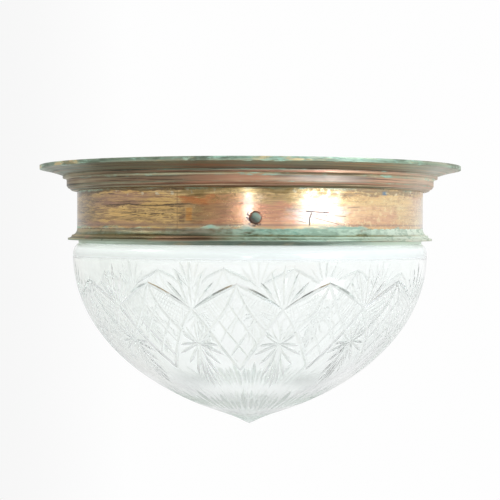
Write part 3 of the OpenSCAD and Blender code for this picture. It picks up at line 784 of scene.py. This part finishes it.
def patch(turn, z, place, soft):
    """One inside a field of the wall given as (degrees from, to, millimetres from, to)."""
    low_turn, high_turn, low_z, high_z = place
    across = window(turn, low_turn, high_turn, soft[0])
    return times(across, window(z, low_z, high_z, soft[1]))


def at_left(full, none):
    """One leftwards of `full` degrees and none from `none` on; it fades out again at the back."""
    turn = round_lamp()[0]
    return times(step(turn, full, none, 1, 0), step(turn, -BACK[1], -BACK[0]))


def at_right(none, full):
    """None up to `none` degrees and one rightwards of `full`; it fades out again at the back."""
    turn = round_lamp()[0]
    return times(step(turn, none, full), step(turn, *BACK, 1, 0))


def old_metal(name, colour):
    """Tarnished metal: material, shader, and degrees, radius and height in mm at its surface."""
    material, shader = finish_called(name, colour, 1, 0.36)
    turn, radius, z = round_lamp()
    return material, shader, turn, times(radius, MM), times(z, MM)


def painted(colour, crust, inside):
    """Grey paint, stained and chipped a little, over the faces marked as inside."""
    chip = clouds(60, 90, 5, 0.62, (2, 8, 5))
    whole = times(inside, step(chip, 0.7, 0.64))
    paint = mix(step(chip, 0.3, 0.7), PAINT, (0.27, 0.28, 0.25))
    return mix(whole, colour, paint), most(crust, whole)


def dressed(shader, colour, crust, bump_height, rough, depth):
    """Joins colour, verdigris crust and bump to the shader: crust is dull and not metallic."""
    mottle = clouds(30, 60, 5, 0.6)
    feed(shader, {
        "Base Color": colour,
        "Metallic": step(crust, 0.1, 0.9, 1, 0.12),
        "Roughness": most(step(mottle, 0.35, 0.7, *rough), times(crust, 0.75)),
        "Normal": bump(bump_height, depth, 0.8),
    })


def band_finish():
    """Spun band: gold streaked level, rust and copper fields, a seam and old scratches; painted
    shade at its left and under the cornice, and pale fields under its highlights as painted
    highlight.
    """
    material, shader, turn, radius, z = old_metal("band_brass", GOLD)
    streak = clouds(14, 430, 6, 0.68)
    fine = clouds(70, 900, 4, 0.65)
    cloud = clouds(24, 60, 4, 0.6)
    spots = clouds(330, 420, 2, 0.5)
    wander = clouds(34, 90, 4, 0.6, (3, 5, 2))
    z_soft = add(z, step(wander, 0.2, 0.8, -2.6, 2.6))
    soft_at = (add(turn, step(wander, 0.2, 0.8, -4, 4)), z_soft)

    coat = Coat(GOLD)
    lay = coat.lay
    lay(COPPER, 0.7, step(cloud, 0.38, 0.66))
    lay(PALE_GOLD, 1, step(cloud, 0.5, 0.3))

    def field(place, paint, strength, soft, crisp=False):
        at = (turn, z) if crisp else soft_at
        lay(paint, strength, patch(*at, place, soft))

    # Around the front, field by field
    field((-70, -23.2, -49, -21), GOLD, 0.8, (1, 2))
    field((-62, -38, -36, -24), PLUM, 0.6, (5, 2.5))
    field((-46, -24, -33, -22), (0.86, 0.52, 0.27), 0.55, (4, 2))
    field((-50, -24, -49.5, -36.5), (0.88, 0.6, 0.26), 0.8, (6, 2))
    field((-23.1, -12, -34, -27), (0.82, 0.29, 0.1), 0.7, (0.5, 1))
    field((-21, -9, -34, -27.5), (0.82, 0.29, 0.1), 0.6, (4, 1.5))
    field((-23.1, -2, -50, -22), (0.42, 0.17, 0.06), 0.28, (0.5, 2))
    field((-19, -6, -50, -34), UMBER, 0.45, (4, 3))
    field((-15, -1, -50, -35), (0.92, 0.44, 0.25), 0.72, (3, 3))
    field((-19, -10, -46, -35), (0.46, 0.33, 0.14), 0.5, (3, 2))
    # Painted shade: the strip under the cornice darkened across the front
    field((-23.1, 28, -26.8, -20), (0.25, 0.165, 0.06), 0.88, (0.5, 1.2))
    field((-3, 14, -33.5, -24), (0.84, 0.58, 0.28), 0.6, (2, 2))
    field((4, 13, -32.5, -21), (0.56, 0.38, 0.13), 0.6, (2, 2))
    # Painted highlight: paler where the near lamp's highlight falls
    field((-4.5, 2, -46, -23), (0.95, 0.86, 0.72), 0.2, (1.5, 2))
    field((0, 12.5, -50, -33.5), (0.9, 0.43, 0.26), 0.9, (2, 1.8))
    # Painted highlight: paler, and pinker lower down, where the right lamp's highlight falls
    field((12, 27, -48, -26.5), (0.95, 0.85, 0.7), 0.32, (3, 2.5))
    field((11, 28, -50, -36), (0.98, 0.76, 0.7), 0.55, (2, 2))
    field((28, 70, -48, -30), PALE_GOLD, 0.5, (3, 3))
    field((27, 48, -49, -36), (0.92, 0.56, 0.36), 0.5, (3, 2))
    field((24, 62, -34, -27), (0.9, 0.66, 0.32), 0.6, (3, 1.5))
    # Painted shade: the strip under the cornice darkened at the right
    field((27, 66, -26.2, -20), (0.36, 0.29, 0.2), 0.75, (3, 1))
    field((34, 50, -50, -42), COPPER, 0.6, (3, 2))
    field((-20.5, -18.6, -46.5, -37), ORANGE, 0.9, (0.35, 0.6), True)
    field((-22.9, -20.9, -48.5, -35.5), UMBER, 0.85, (0.4, 1), True)
    field((42.6, 44.6, -26.2, -23.4), (0.16, 0.3, 0.42), 0.85, (0.7, 0.6), True)

    smear = step(clouds(60, 150, 5, 0.65, (4, 9, 3)), 0.52, 0.42)
    lay((0.34, 0.15, 0.08), 0.42, smear, patch(*soft_at, (-21, -7, -50, -33), (3, 2)))
    # Painted shade leftwards of the seam; bright scrapes and dark lines that run level
    lay(UMBER, 0.26, at_left(-27, -21))
    top = window(z, -31, -22.3, 1.2)
    left = at_left(-24, -20)
    scrape = step(clouds(16, 260, 5, 0.65, (7, 1, 4)), 0.54, 0.59)
    lay((0.98, 0.7, 0.34), 0.9, scrape, top)
    rubbed = step(clouds(150, 130, 2, 0.5, (4, 4, 9)), 0.6, 0.66)
    lay((0.98, 0.9, 0.66), 0.8, rubbed, window(z, -27, -22.4, 0.8))
    dark = step(clouds(9, 380, 6, 0.66, (5, 2, 7)), 0.46, 0.41)
    lay(SOOT, 1, dark, scaled(left, 0.74, 0.1))
    lay(UMBER, 1, step(fine, 0.48, 0.41), scaled(left, 0.42, 0.2))
    lay((1, 0.68, 0.28), 1, step(fine, 0.53, 0.59), scaled(left, 0.65, 0.25))
    blot = step(clouds(26, 250, 6, 0.68, (8, 1, 6)), 0.51, 0.56)
    lay((1, 0.66, 0.25), 1, blot, scaled(left, 0.62, 0.06))
    field((-60, -36, -34.5, -26.5), (0.5, 0.31, 0.23), 0.55, (6, 2))
    # Painted shade: the strip under the cornice darkened again across the front
    field((-22.5, 26, -25.6, -20), (0.18, 0.13, 0.05), 0.55, (1, 1))
    dots = step(clouds(260, 420, 2, 0.5, (6, 6, 6)), 0.55, 0.66)
    lay((0.95, 0.64, 0.26), 0.75, dots, patch(*soft_at, (-40, -23.2, -49, -35), (5, 2)))
    # Painted shade: the far left of the band darkened
    field((-100, -55, -54, -20), (0.22, 0.19, 0.14), 0.55, (9, 2))
    field((-66, -30, -50.5, -46.8), PLUM, 0.55, (5, 1))
    # Painted shade under the cornice, at the left
    lay((0.16, 0.12, 0.075), 0.8, window(z_soft, -24.2, -21, 0.8), left)
    # A long dark scratch
    line_z = add(z, step(wander, 0.2, 0.8, -1.2, 1.2))
    line = times(window(line_z, -34.9, -33.9, 0.5), window(turn, -52, -18.5, 2))
    # Finer ones beside it: degrees from, to, height in mm
    fine_z = add(z, step(streak, 0.3, 0.7, -1.6, 1.6))
    for low, high, height in (
        (-78, -46, -36.9), (-72, -34, -40.4), (-64, -42, -43.6), (-43, -33, -45.6),
        (-58, -25, -31.6), (-36, -24, -38.2), (-80, -60, -46),
    ):
        thin = window(fine_z, height - 0.18, height + 0.18, 0.3)
        thin = times(thin, window(turn, low, high, 2))
        line = most(line, thin)
    lay(SOOT, 0.8, line)
    lay((0.36, 0.25, 0.19), 0.6, window(z, -50.6, -49, 0.5))
    # Seam
    lay(UMBER, 0.4, window(turn, -23.45, -23, 0.18))
    # Small spots all over the right half, yellow and brown
    right = at_right(2, 20)
    grit = clouds(210, 300, 3, 0.6, (9, 3, 3))
    lay((0.98, 0.82, 0.46), 0.45, right, step(grit, 0.56, 0.64))
    lay((0.52, 0.3, 0.17), 0.4, right, step(grit, 0.44, 0.36))
    upper = times(window(z_soft, -31, -21, 1.5), window(turn, -18, 28, 4))
    lay((0.34, 0.23, 0.07), 0.45, upper, step(grit, 0.49, 0.42))
    lay(SOOT, 0.7, step(spots, 0.7, 0.78))
    lay((0.98, 0.78, 0.46), 0.6, step(spots, 0.27, 0.21))
    # Fine scratches on the right, two of them like a T: degrees from, to, height in mm at the
    # first, rise in mm a degree, half width in mm
    scratch = None
    for low, high, start_z, rise, half in (
        (15, 22.2, -39.4, -0.12, 0.42), (17.4, 25.5, -44.2, -0.6, 0.22),
        (24, 28, -42.6, -0.1, 0.22), (18, 22, -41.8, -0.25, 0.16),
        (28.5, 33, -36.6, 0.2, 0.14), (12.2, 15, -46.5, -0.5, 0.2),
    ):
        off_line = add(z, scaled(turn, -rise, rise * low - start_z))
        line = times(window(off_line, -half, half, 0.12), window(turn, low, high, 0.3))
        scratch = line if scratch is None else most(scratch, line)
    stem_turn = add(turn, step(z, -45.5, -41, 0.25, -0.25))
    stem = patch(stem_turn, z, (16.1, 16.5, -50, -40.2), (0.16, 0.5))
    scratch = most(scratch, stem)
    lay(SOOT, 1, scratch)
    # Dark specks have gathered at the left of the front thumbscrew
    side = times(turn, BAND_R * math.pi / 180)
    level = add(z, -SCREW_Z)
    ring = window(reach(side, level), 4, 7, 0.7)
    specks = step(noise(here(), 2, 0.5, 620), 0.46, 0.53)
    dirt = times(ring, step(add(side, level), 1, -2), specks)
    lay(SOOT, 0.9, dirt)
    # Verdigris grows in from both mouldings
    near = most(step(z_soft, -50.4, -52.8), times(step(z_soft, -23.2, -20.8), 0.6))
    crust = times(near, step(cloud, 0.36, 0.6))
    lay(mix(fine, VERDIGRIS, PALE_VERDIGRIS), 1, crust)
    crust = most(crust, scratch, dirt)
    dents = clouds(14, 26, 2, 0.5, (2, 2, 8))
    height = add(times(streak, 0.9), times(fine, 0.35), times(dents, 5))
    colour, crust = painted(coat.colour, crust, step(radius, *BAND_INSIDE_R))
    dressed(shader, colour, crust, height, (0.2, 0.36), 0.0001)
    lacquer = scaled(at_right(-14, -5), 0.78, 0.12)
    lacquer = times(lacquer, step(z_soft, -24.6, -28, 0.25, 1))
    feed(shader, {"Coat Weight": lacquer, "Coat Roughness": 0.12, "Coat IOR": 1.75})
    return material


def cornice_finish():
    """Spun cornice: every step of its moulding has its own tarnish, green at the rim; painted
    light pales its right side and its soffit, painted shade darkens its left.
    """
    material, shader, turn, radius, z = old_metal("cornice_brass", OLIVE)
    streak = noise(rings(10, 560, 480), 5, 0.62)
    cloud = clouds(22, 60, 5, 0.62, (1, 6, 3))
    fine = clouds(160, 520, 4, 0.6, (4, 4, 1))
    level = add(z, step(cloud, 0.25, 0.75, -0.35, 0.35))
    coat = Coat(by_height(level, -22, 0, [
        (-21.4, (0.2, 0.16, 0.11)), (-19.6, (0.36, 0.27, 0.18)), (-19, (0.56, 0.3, 0.21)),
        (-18, (0.5, 0.3, 0.19)), (-17.3, (0.2, 0.22, 0.13)), (-16.6, (0.7, 0.43, 0.28)),
        (-13.4, (0.68, 0.4, 0.26)), (-12.7, (0.26, 0.27, 0.18)), (-12.2, (0.72, 0.64, 0.4)),
        (-10.9, (0.66, 0.58, 0.36)), (-10.3, (0.56, 0.27, 0.18)), (-8.6, (0.46, 0.3, 0.2)),
        (-8.1, (0.12, 0.12, 0.09)), (-7.4, (0.29, 0.31, 0.26)), (-3.6, (0.35, 0.41, 0.36)),
        (-3, (0.34, 0.5, 0.38)), (-1.6, (0.3, 0.46, 0.34)), (-0.6, (0.38, 0.54, 0.42)),
    ]))
    lay = coat.lay
    lay(UMBER, 0.3, step(cloud, 0.6, 0.4))
    tint = noise(rings(9, 430, 380, 31), 5, 0.62)
    rosy = window(z, -17.5, -12.5, 0.6)
    lay((0.36, 0.5, 0.37), 1, step(tint, 0.51, 0.57), scaled(rosy, -0.35, 0.55))
    lay((0.68, 0.36, 0.27), 0.5, step(tint, 0.47, 0.41))
    lay(SOOT, 0.72, step(streak, 0.46, 0.4))
    lay((0.92, 0.74, 0.46), 0.45, step(streak, 0.55, 0.61))
    left = at_left(-46, -6)
    # Painted shade: the left side darkened, in dark streaks
    dull = mix(step(streak, 0.35, 0.65), (0.06, 0.06, 0.04), (0.3, 0.29, 0.19))
    lay(dull, 0.68, left)
    # The wide step is redder at the front, and greyed beside it under the right lamp's highlight as
    # painted highlight
    lay((0.56, 0.25, 0.15), 0.55, window(turn, -18, 5, 6), window(z, -18.5, -12, 0.6))
    lay((0.33, 0.29, 0.24), 0.75, window(turn, 8, 34, 7), window(z, -17.5, -12.5, 0.8))
    # Painted light: paler towards the right
    lay((0.8, 0.68, 0.55), 0.5, at_right(34, 60))
    lay((0.36, 0.5, 0.37), 0.55, window(z, -3.2, 0.5, 0.4))
    # Green tarnish over the soffit, laid paler as painted light from below
    lay((0.38, 0.45, 0.36), 0.45, window(z, -7.9, -3.2, 0.4), step(tint, 0.42, 0.56))
    # Gold spots rubbed along the top edge
    spot = step(clouds(26, 70, 3, 0.5, (9, 2, 5)), 0.54, 0.62)
    lay((0.86, 0.66, 0.34), 0.8, window(z, -3, 0.4, 0.4), spot)
    # Green in the hollows and on the rim
    hollow = most(
        window(level, -12.9, -10.6, 0.5), window(level, -17.5, -17, 0.3),
        times(window(level, -8.6, -7.9, 0.3), 0.7), window(level, -3.4, 1, 0.6),
    )
    grain = step(fine, 0.46, 0.62)
    bare = scaled(times(left, step(level, -4.2, -6)), -0.7, 1)
    crust = times(hollow, step(cloud, 0.38, 0.62), grain, bare)
    crust = most(crust, times(step(fine, 0.7, 0.78), 0.5))
    lay(mix(streak, VERDIGRIS, PALE_VERDIGRIS), 1, crust)
    worn = step(clouds(40, 200, 4, 0.6, (2, 7, 7)), 0.5, 0.42)
    lay((0.15, 0.18, 0.13), 0.6, worn, window(z, -3.4, 0.4, 0.3))
    height = add(times(streak, 0.8), times(fine, 0.7))
    inside = times(step(radius, *CORNICE_INSIDE_R), step(z, -0.9, -1.2))
    colour, crust = painted(coat.colour, crust, inside)
    dressed(shader, colour, crust, height, (0.36, 0.5), 0.00018)
    return material


def moulding_finish():
    """Base moulding: green crust over its upper cove; gold and pink steps at the left, pale
    green steps over a dark foot from the front rightwards, and painted light that whitens it
    towards the right."""
    material, shader, _, _, z = old_metal("moulding_brass", OLIVE)
    streak = noise(rings(11, 620, 520, 17), 5, 0.62)
    cloud = clouds(30, 90, 5, 0.62, (8, 3, 3))
    fine = clouds(200, 460, 4, 0.6, (2, 4, 7))
    level = add(z, step(cloud, 0.25, 0.75, -0.5, 0.5))
    coat = Coat(by_height(level, -64, -52, [
        (-62.6, (0.1, 0.11, 0.08)), (-61.8, (0.22, 0.25, 0.17)), (-60.2, (0.38, 0.36, 0.21)),
        (-59, (0.44, 0.36, 0.2)), (-58, (0.64, 0.54, 0.28)), (-57, (0.3, 0.32, 0.18)),
        (-55, (0.36, 0.3, 0.18)), (-53, (0.44, 0.28, 0.18)),
    ]))
    lay = coat.lay
    lay((0.64, 0.34, 0.24), 0.5, step(cloud, 0.52, 0.6))
    lay(SOOT, 0.6, step(streak, 0.47, 0.41))
    lay((0.92, 0.76, 0.42), 0.6, step(streak, 0.55, 0.62))
    left = at_left(-20, 4)
    lay((0.12, 0.09, 0.06), 0.3, left, step(level, -61.6, -60.6))
    lay((0.44, 0.5, 0.37), 0.8, left, step(level, -61, -61.8))
    pale = mix(step(streak, 0.36, 0.56), (0.38, 0.47, 0.34), (0.7, 0.82, 0.62))
    lay(pale, 0.82, at_right(-16, -4), window(z, -61.4, -58, 0.4))
    upper = step(level, -58.2, -57)
    lip = times(window(z, -61.2, -58.6, 0.4), at_right(-14, -2))
    ragged = step(add(cloud, scaled(fine, 0.5, times(at_right(-4, 14), 0.14))), 0.62, 0.86)
    crust = times(most(upper, times(lip, 0.75)), ragged, scaled(left, -0.72, 1))
    lay(mix(step(fine, 0.35, 0.7), VERDIGRIS, PALE_VERDIGRIS), 1, crust)
    # Painted light: crust and moulding paler towards the right, nearly white at the far right
    lay((0.68, 0.83, 0.65), 0.65, at_right(6, 30), crust)
    lay((0.92, 0.96, 0.82), 0.65, at_right(26, 60))
    # Pores
    lay((0.1, 0.16, 0.11), 0.7, step(fine, 0.42, 0.33), step(cloud, 0.62, 0.42))
    blot = step(clouds(95, 260, 4, 0.62, (3, 9, 2)), 0.48, 0.57)
    lay((0.26, 0.38, 0.27), 0.5, blot, at_right(-14, 0))
    foot = times(step(z, -61.3, -61.8), at_right(-24, -10), at_left(26, 50))
    lay(mix(streak, (0.12, 0.17, 0.13), (0.26, 0.33, 0.27)), 0.85, foot)
    height = add(times(streak, 0.7), times(fine, 0.9))
    dressed(shader, coat.colour, crust, height, (0.38, 0.52), 0.0002)
    return material


def collar_finish():
    """Collar round the lip of the glass: grey green, paler at both sides as painted light,
    painted inside.
    """
    material, shader, _, radius, _ = old_metal("collar_brass", OLIVE)
    streak = noise(rings(12, 600, 500, 53), 5, 0.6)
    cloud = clouds(30, 80, 4, 0.6, (5, 3, 9))
    coat = Coat(mix(step(streak, 0.35, 0.65), (0.15, 0.18, 0.135), (0.31, 0.345, 0.27)))
    coat.lay(GOLD, 0.4, step(cloud, 0.5, 0.7))
    crust = times(step(cloud, 0.6, 0.36), 0.9)
    coat.lay(mix(streak, (0.085, 0.135, 0.1), (0.185, 0.255, 0.205)), 1, crust)
    # Painted light: paler towards both sides
    pale = add(times(at_left(-45, -10), 0.8), times(at_right(12, 45), 0.95))
    coat.lay((0.74, 0.87, 0.74), 1, pale)
    colour, crust = painted(coat.colour, crust, step(radius, *COLLAR_INSIDE_R))
    dressed(shader, colour, crust, streak, (0.4, 0.52), 0.00014)
    return material


def thumbscrew_finish():
    """Thumbscrew: green dull face painted lighter at its upper right and shaded at its lower left
    as painted light, a brown rim rubbed red on its edges, bare brass shank.
    """
    material, shader, turn, radius, z = old_metal("thumbscrew_brass", UMBER)
    grain = noise(here(), 4, 0.6, 420)
    blot = noise(here(), 3, 0.6, 160)
    coat = Coat(mix(step(blot, 0.35, 0.65), (0.16, 0.1, 0.07), (0.5, 0.22, 0.14)))
    # Way from the screw's own axis in mm: the three screws stand 120 degrees apart
    folded = maths("WRAP", turn, 60, -60)
    side = times(folded, SCREW_HEAD_R * math.pi / 180)
    level = add(z, -SCREW_Z)
    # Painted light: each head lighter towards its upper right
    painted_light = add(times(side, 0.16), times(level, 0.22))
    face = step(add(reach(side, level), times(blot, 0.9)), 4.6, 3.9)
    crust = times(face, step(grain, 0.25, 0.5))
    green = step(add(painted_light, times(grain, 1.1)), 0, 1.1)
    coat.lay(mix(green, (0.05, 0.085, 0.065), (0.25, 0.34, 0.27)), 1, crust)
    # Painted shade at the lower left of each head
    coat.lay((0.1, 0.06, 0.045), 0.7, step(painted_light, -0.2, -0.9))
    # Shank
    coat.lay(GOLD, 1, step(radius, *SHANK_R))
    dressed(shader, coat.colour, crust, grain, (0.36, 0.5), 0.0002)
    return material


def spotted_metal(name, light, dark, rough, scale=120):
    """Plain metal of a hidden part: clouded, with small dark spots and a fine grain."""
    material, shader = finish_called(name, light, 1, rough)
    cloud = noise(here(), 5, 0.6, scale)
    spot = noise(here(), 3, 0.6, scale * 6)
    colour = mix(step(cloud, 0.35, 0.65), light, dark)
    colour = mix(times(step(spot, 0.62, 0.72), 0.6), colour, tuple(0.35 * c for c in dark))
    rough = step(cloud, 0.3, 0.7, rough - 0.08, rough + 0.14)
    feed(shader, {"Base Color": colour, "Roughness": rough, "Normal": bump(spot, 0.00008, 0.6)})
    return material


def fired_clay(name, body, speck, scale):
    """Glazed ceramic or moulded rubber: an even body with small specks and a dimpled skin."""
    material, shader = finish_called(name, body, 0, 0.3)
    grain = noise(here(), 4, 0.6, scale)
    cloud = noise(here(), 3, 0.5, scale / 8)
    colour = mix(step(cloud, 0.3, 0.75), body, tuple(0.86 * c for c in body))
    colour = mix(times(step(grain, 0.66, 0.74), 0.8), colour, speck)
    rough = step(grain, 0.3, 0.7, 0.24, 0.42)
    feed(shader, {"Base Color": colour, "Roughness": rough, "Normal": bump(cloud, 0.0002, 0.5)})
    return material


def braided_lead():
    """Lead cover woven of fine diagonal threads."""
    material, shader = finish_called("lead_cover", (0.62, 0.55, 0.4), 0, 0.85)
    values = {"Vector": here(), "Scale": 420, "Distortion": 1.2}
    wave = node("TexWave", values, bands_direction="DIAGONAL")
    grain = noise(here(), 2, 0.5, 900)
    thread = times(wave.outputs[1], step(grain, 0.2, 0.8, 0.6, 1))
    colour = mix(thread, (0.36, 0.3, 0.21), (0.74, 0.67, 0.52))
    feed(shader, {"Base Color": colour, "Normal": bump(thread, 0.0002, 0.7)})
    return material


def frosted_bulb():
    """Bulb glass frosted inside: pale, soft and faintly cloudy."""
    material, shader = finish_called("bulb_glass", (0.95, 0.95, 0.93), 0, 0.22)
    cloud = noise(here(), 4, 0.6, 90)
    feed(shader, {
        "Base Color": mix(cloud, (0.9, 0.9, 0.88), (1, 1, 0.98)),
        "Roughness": step(cloud, 0.3, 0.7, 0.3, 0.4),
        "Transmission Weight": 0.35,
        "IOR": 1.5,
    })
    return material


def finish_the_solids():
    """Gives every solid of the frame its finish, by the start of its name."""
    steel = spotted_metal("screw_steel", (0.44, 0.44, 0.42), (0.26, 0.24, 0.21), 0.36, 300)
    brass = spotted_metal("holder_brass", (0.6, 0.42, 0.2), (0.34, 0.22, 0.11), 0.32)
    finishes = {
        "cornice": cornice_finish(), "gallery_band": band_finish(),
        "base_moulding": moulding_finish(), "inner_collar": collar_finish(),
        "thumbscrew": thumbscrew_finish(), "bulb_glass": frosted_bulb(), "leads": braided_lead(),
        "bracket": brass, "nipple": brass, "holder": brass, "centre_contact": brass,
        "earth_screw": brass, "terminal_screws": brass, "lug_screws": steel,
        "block_screw": steel, "bracket_screws": steel,
    }
    for part, *metal in (
        ("ceiling_plate", "plate_steel", (0.27, 0.27, 0.265), (0.21, 0.21, 0.205), 0.5, 60),
        ("screw_ferrules", "ferrule_brass", (0.4, 0.3, 0.17), (0.15, 0.15, 0.09), 0.42, 400),
        ("gallery_lugs", "inner_brass", (0.52, 0.37, 0.19), (0.28, 0.19, 0.1), 0.4, 120),
        ("bulb_cap", "bulb_cap_metal", (0.72, 0.71, 0.68), (0.5, 0.48, 0.44), 0.3, 250),
    ):
        finishes[part] = spotted_metal(*metal)
    for part, *clay in (
        ("cable_grommet", "grommet_rubber", (0.035, 0.034, 0.033), (0.08, 0.08, 0.08), 900),
        ("terminal_block", "block_ceramic", (0.82, 0.8, 0.74), (0.4, 0.34, 0.26), 500),
        ("holder_insert", "insert_ceramic", (0.78, 0.75, 0.68), (0.3, 0.24, 0.18), 500),
        ("bulb_filament", "bulb_stem_glass", (0.72, 0.73, 0.71), (0.3, 0.3, 0.3), 500),
    ):
        finishes[part] = fired_clay(*clay)
    for name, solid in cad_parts.items():
        plain = name.removeprefix("left_").removeprefix("right_")
        best = max((key for key in finishes if plain.startswith(key)), key=len, default=None)
        if best:
            for slot in solid.material_slots:
                slot.material = finishes[best]


def light_the_room():
    """World: white behind the lamp, fading darker overhead for what glass and metal mirror."""
    world = bpy.data.worlds.new("room")
    bpy.context.scene.world = world
    world.use_nodes = True
    take_up(world.node_tree)
    out = world.node_tree.nodes["World Output"]
    back = world.node_tree.nodes["Background"]
    x, y, up = split(node("TexCoord").outputs["Generated"])
    mirrored = ramp(scaled(up, 0.5, 0.5), [
        (0, (0.82, 0.83, 0.83)), (0.33, 0.92), (0.44, 1), (0.57, 1),
        (0.7, (0.8, 0.81, 0.81)), (1, (0.6, 0.61, 0.61)),
    ])
    # Turn round the lamp as a share, 0.5 at the front
    turn = scaled(maths("ARCTAN2", x, times(y, -1)), 0.5 / math.pi, 0.5)
    side = ramp(turn, [
        (0, 0.8), (0.2, 0.58), (0.4, 0.54), (0.47, 0.54), (0.56, 0.6), (0.66, 0.98),
        (0.86, 0.95), (1, 0.8),
    ])
    path = node("LightPath").outputs
    polished = mix(1, mirrored, side, "MULTIPLY")
    coat = Coat(mix(path["Is Glossy Ray"], (0.86, 0.86, 0.86), polished))
    # What the glass shows behind it is a little warmer and greyer at the left
    behind = ramp(turn, [
        (0, 1), (0.006, 1), (0.024, (0.87, 0.875, 0.845)), (0.15, (0.87, 0.875, 0.845)),
        (0.25, 1), (1, 1),
    ])
    coat.lay(mix(1, mirrored, behind, "MULTIPLY"), 1, path["Is Transmission Ray"])
    # The paper behind the lamp is a little greyer at the left
    paper = ramp(turn, [
        (0, 0.99), (0.012, 0.99), (0.026, 0.93), (0.1, 0.93), (0.2, 0.99), (1, 0.99),
    ])
    coat.lay(paper, 1, path["Is Camera Ray"])
    # Two walls of glass take some light away, and the room behind makes up for it
    strength = scaled(path["Is Transmission Ray"], 0.075, 1)
    feed(back, {"Color": coat.colour, "Strength": strength})
    feed(out, {"Surface": back.outputs[0]})

    def softbox(name, turn, rise, away, size_x, size_z, strength, colour=(1, 1, 1)):
        name = "softbox_" + name
        lamp = bpy.data.lights.new(name, "AREA")
        lamp.shape = "RECTANGLE"
        lamp.size = size_x
        lamp.size_y = size_z
        lamp.energy = strength * size_x * size_z * math.pi
        lamp.color = colour
        thing = placed(name, lamp)
        turn, rise = math.radians(turn), math.radians(rise)
        place = Vector((
            away * math.cos(rise) * math.sin(turn),
            -away * math.cos(rise) * math.cos(turn),
            away * math.sin(rise) + LAMP_MIDDLE_Z,
        ))
        thing.location = place
        way = Vector((0, 0, LAMP_MIDDLE_Z)) - place
        thing.rotation_euler = way.to_track_quat("-Z", "Y").to_euler()
        # No lamp is seen through the glass, only mirrored on it
        thing.visible_transmission = False
        return thing

    softbox("right", 42, 12.5, 2, 0.92, 0.68, 4.9, (0.82, 0.9, 1.06))
    softbox("near", -3, 7, 1.7, 0.14, 0.3, 8, (0.84, 0.9, 1))
    softbox("left", -75, 35, 2.2, 0.7, 0.7, 4)
    softbox("back", 165, 35, 2.2, 1.6, 1, 1.6)
    # Light that a white table sends up: nothing mirrors it
    softbox("below", 0, -89, 0.6, 1.3, 1.3, 1.8).visible_glossy = False


def make_floor():
    """A pale floor far below, white to the camera; it thins out, so that no edge of it shows."""
    n = 9
    side = np.linspace(-FLOOR_HALF, FLOOR_HALF, n)
    x, y = np.meshgrid(side, side)
    xyz = np.column_stack([x.ravel(), y.ravel(), np.full(n * n, FLOOR_Z)])
    i = (np.arange(n - 1)[:, None] * n + np.arange(n - 1)).ravel()
    faces = np.vstack([
        np.column_stack([i, i + 1, i + n + 1]),
        np.column_stack([i, i + n + 1, i + n]),
    ])
    floor = mesh_object("floor", xyz, faces)
    material, shader = finish_called("floor_paper", (0.62, 0.62, 0.62), 0, 0.9)
    path = node("LightPath").outputs
    seen = add(times(path["Is Glossy Ray"], 0.15), times(path["Is Camera Ray"], 0.55))
    feed(shader, {"Emission Color": (1, 1, 1), "Emission Strength": seen})
    gone = step(round_lamp()[1], *FLOOR_FADE)
    clear = node("BsdfTransparent").outputs[0]
    thinned = node("MixShader", {0: gone, 1: shader.outputs[0], 2: clear}).outputs[0]
    feed(material.node_tree.nodes["Material Output"], {"Surface": thinned})
    floor.data.materials.append(material)


place_camera()
light_the_room()
make_floor()

finish_the_solids()

bowl = make_bowl()
bowl.data.materials.append(cut_glass())
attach(bowl, "glass_body")
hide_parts("glass_bowl")
bowl.visible_shadow = False

view = bpy.context.scene.view_settings
view.view_transform = "Standard"
# Light finds its way out of thick glass only after many bounces
paths = bpy.context.scene.cycles
paths.max_bounces = 32
paths.glossy_bounces = 24
paths.transmission_bounces = 32
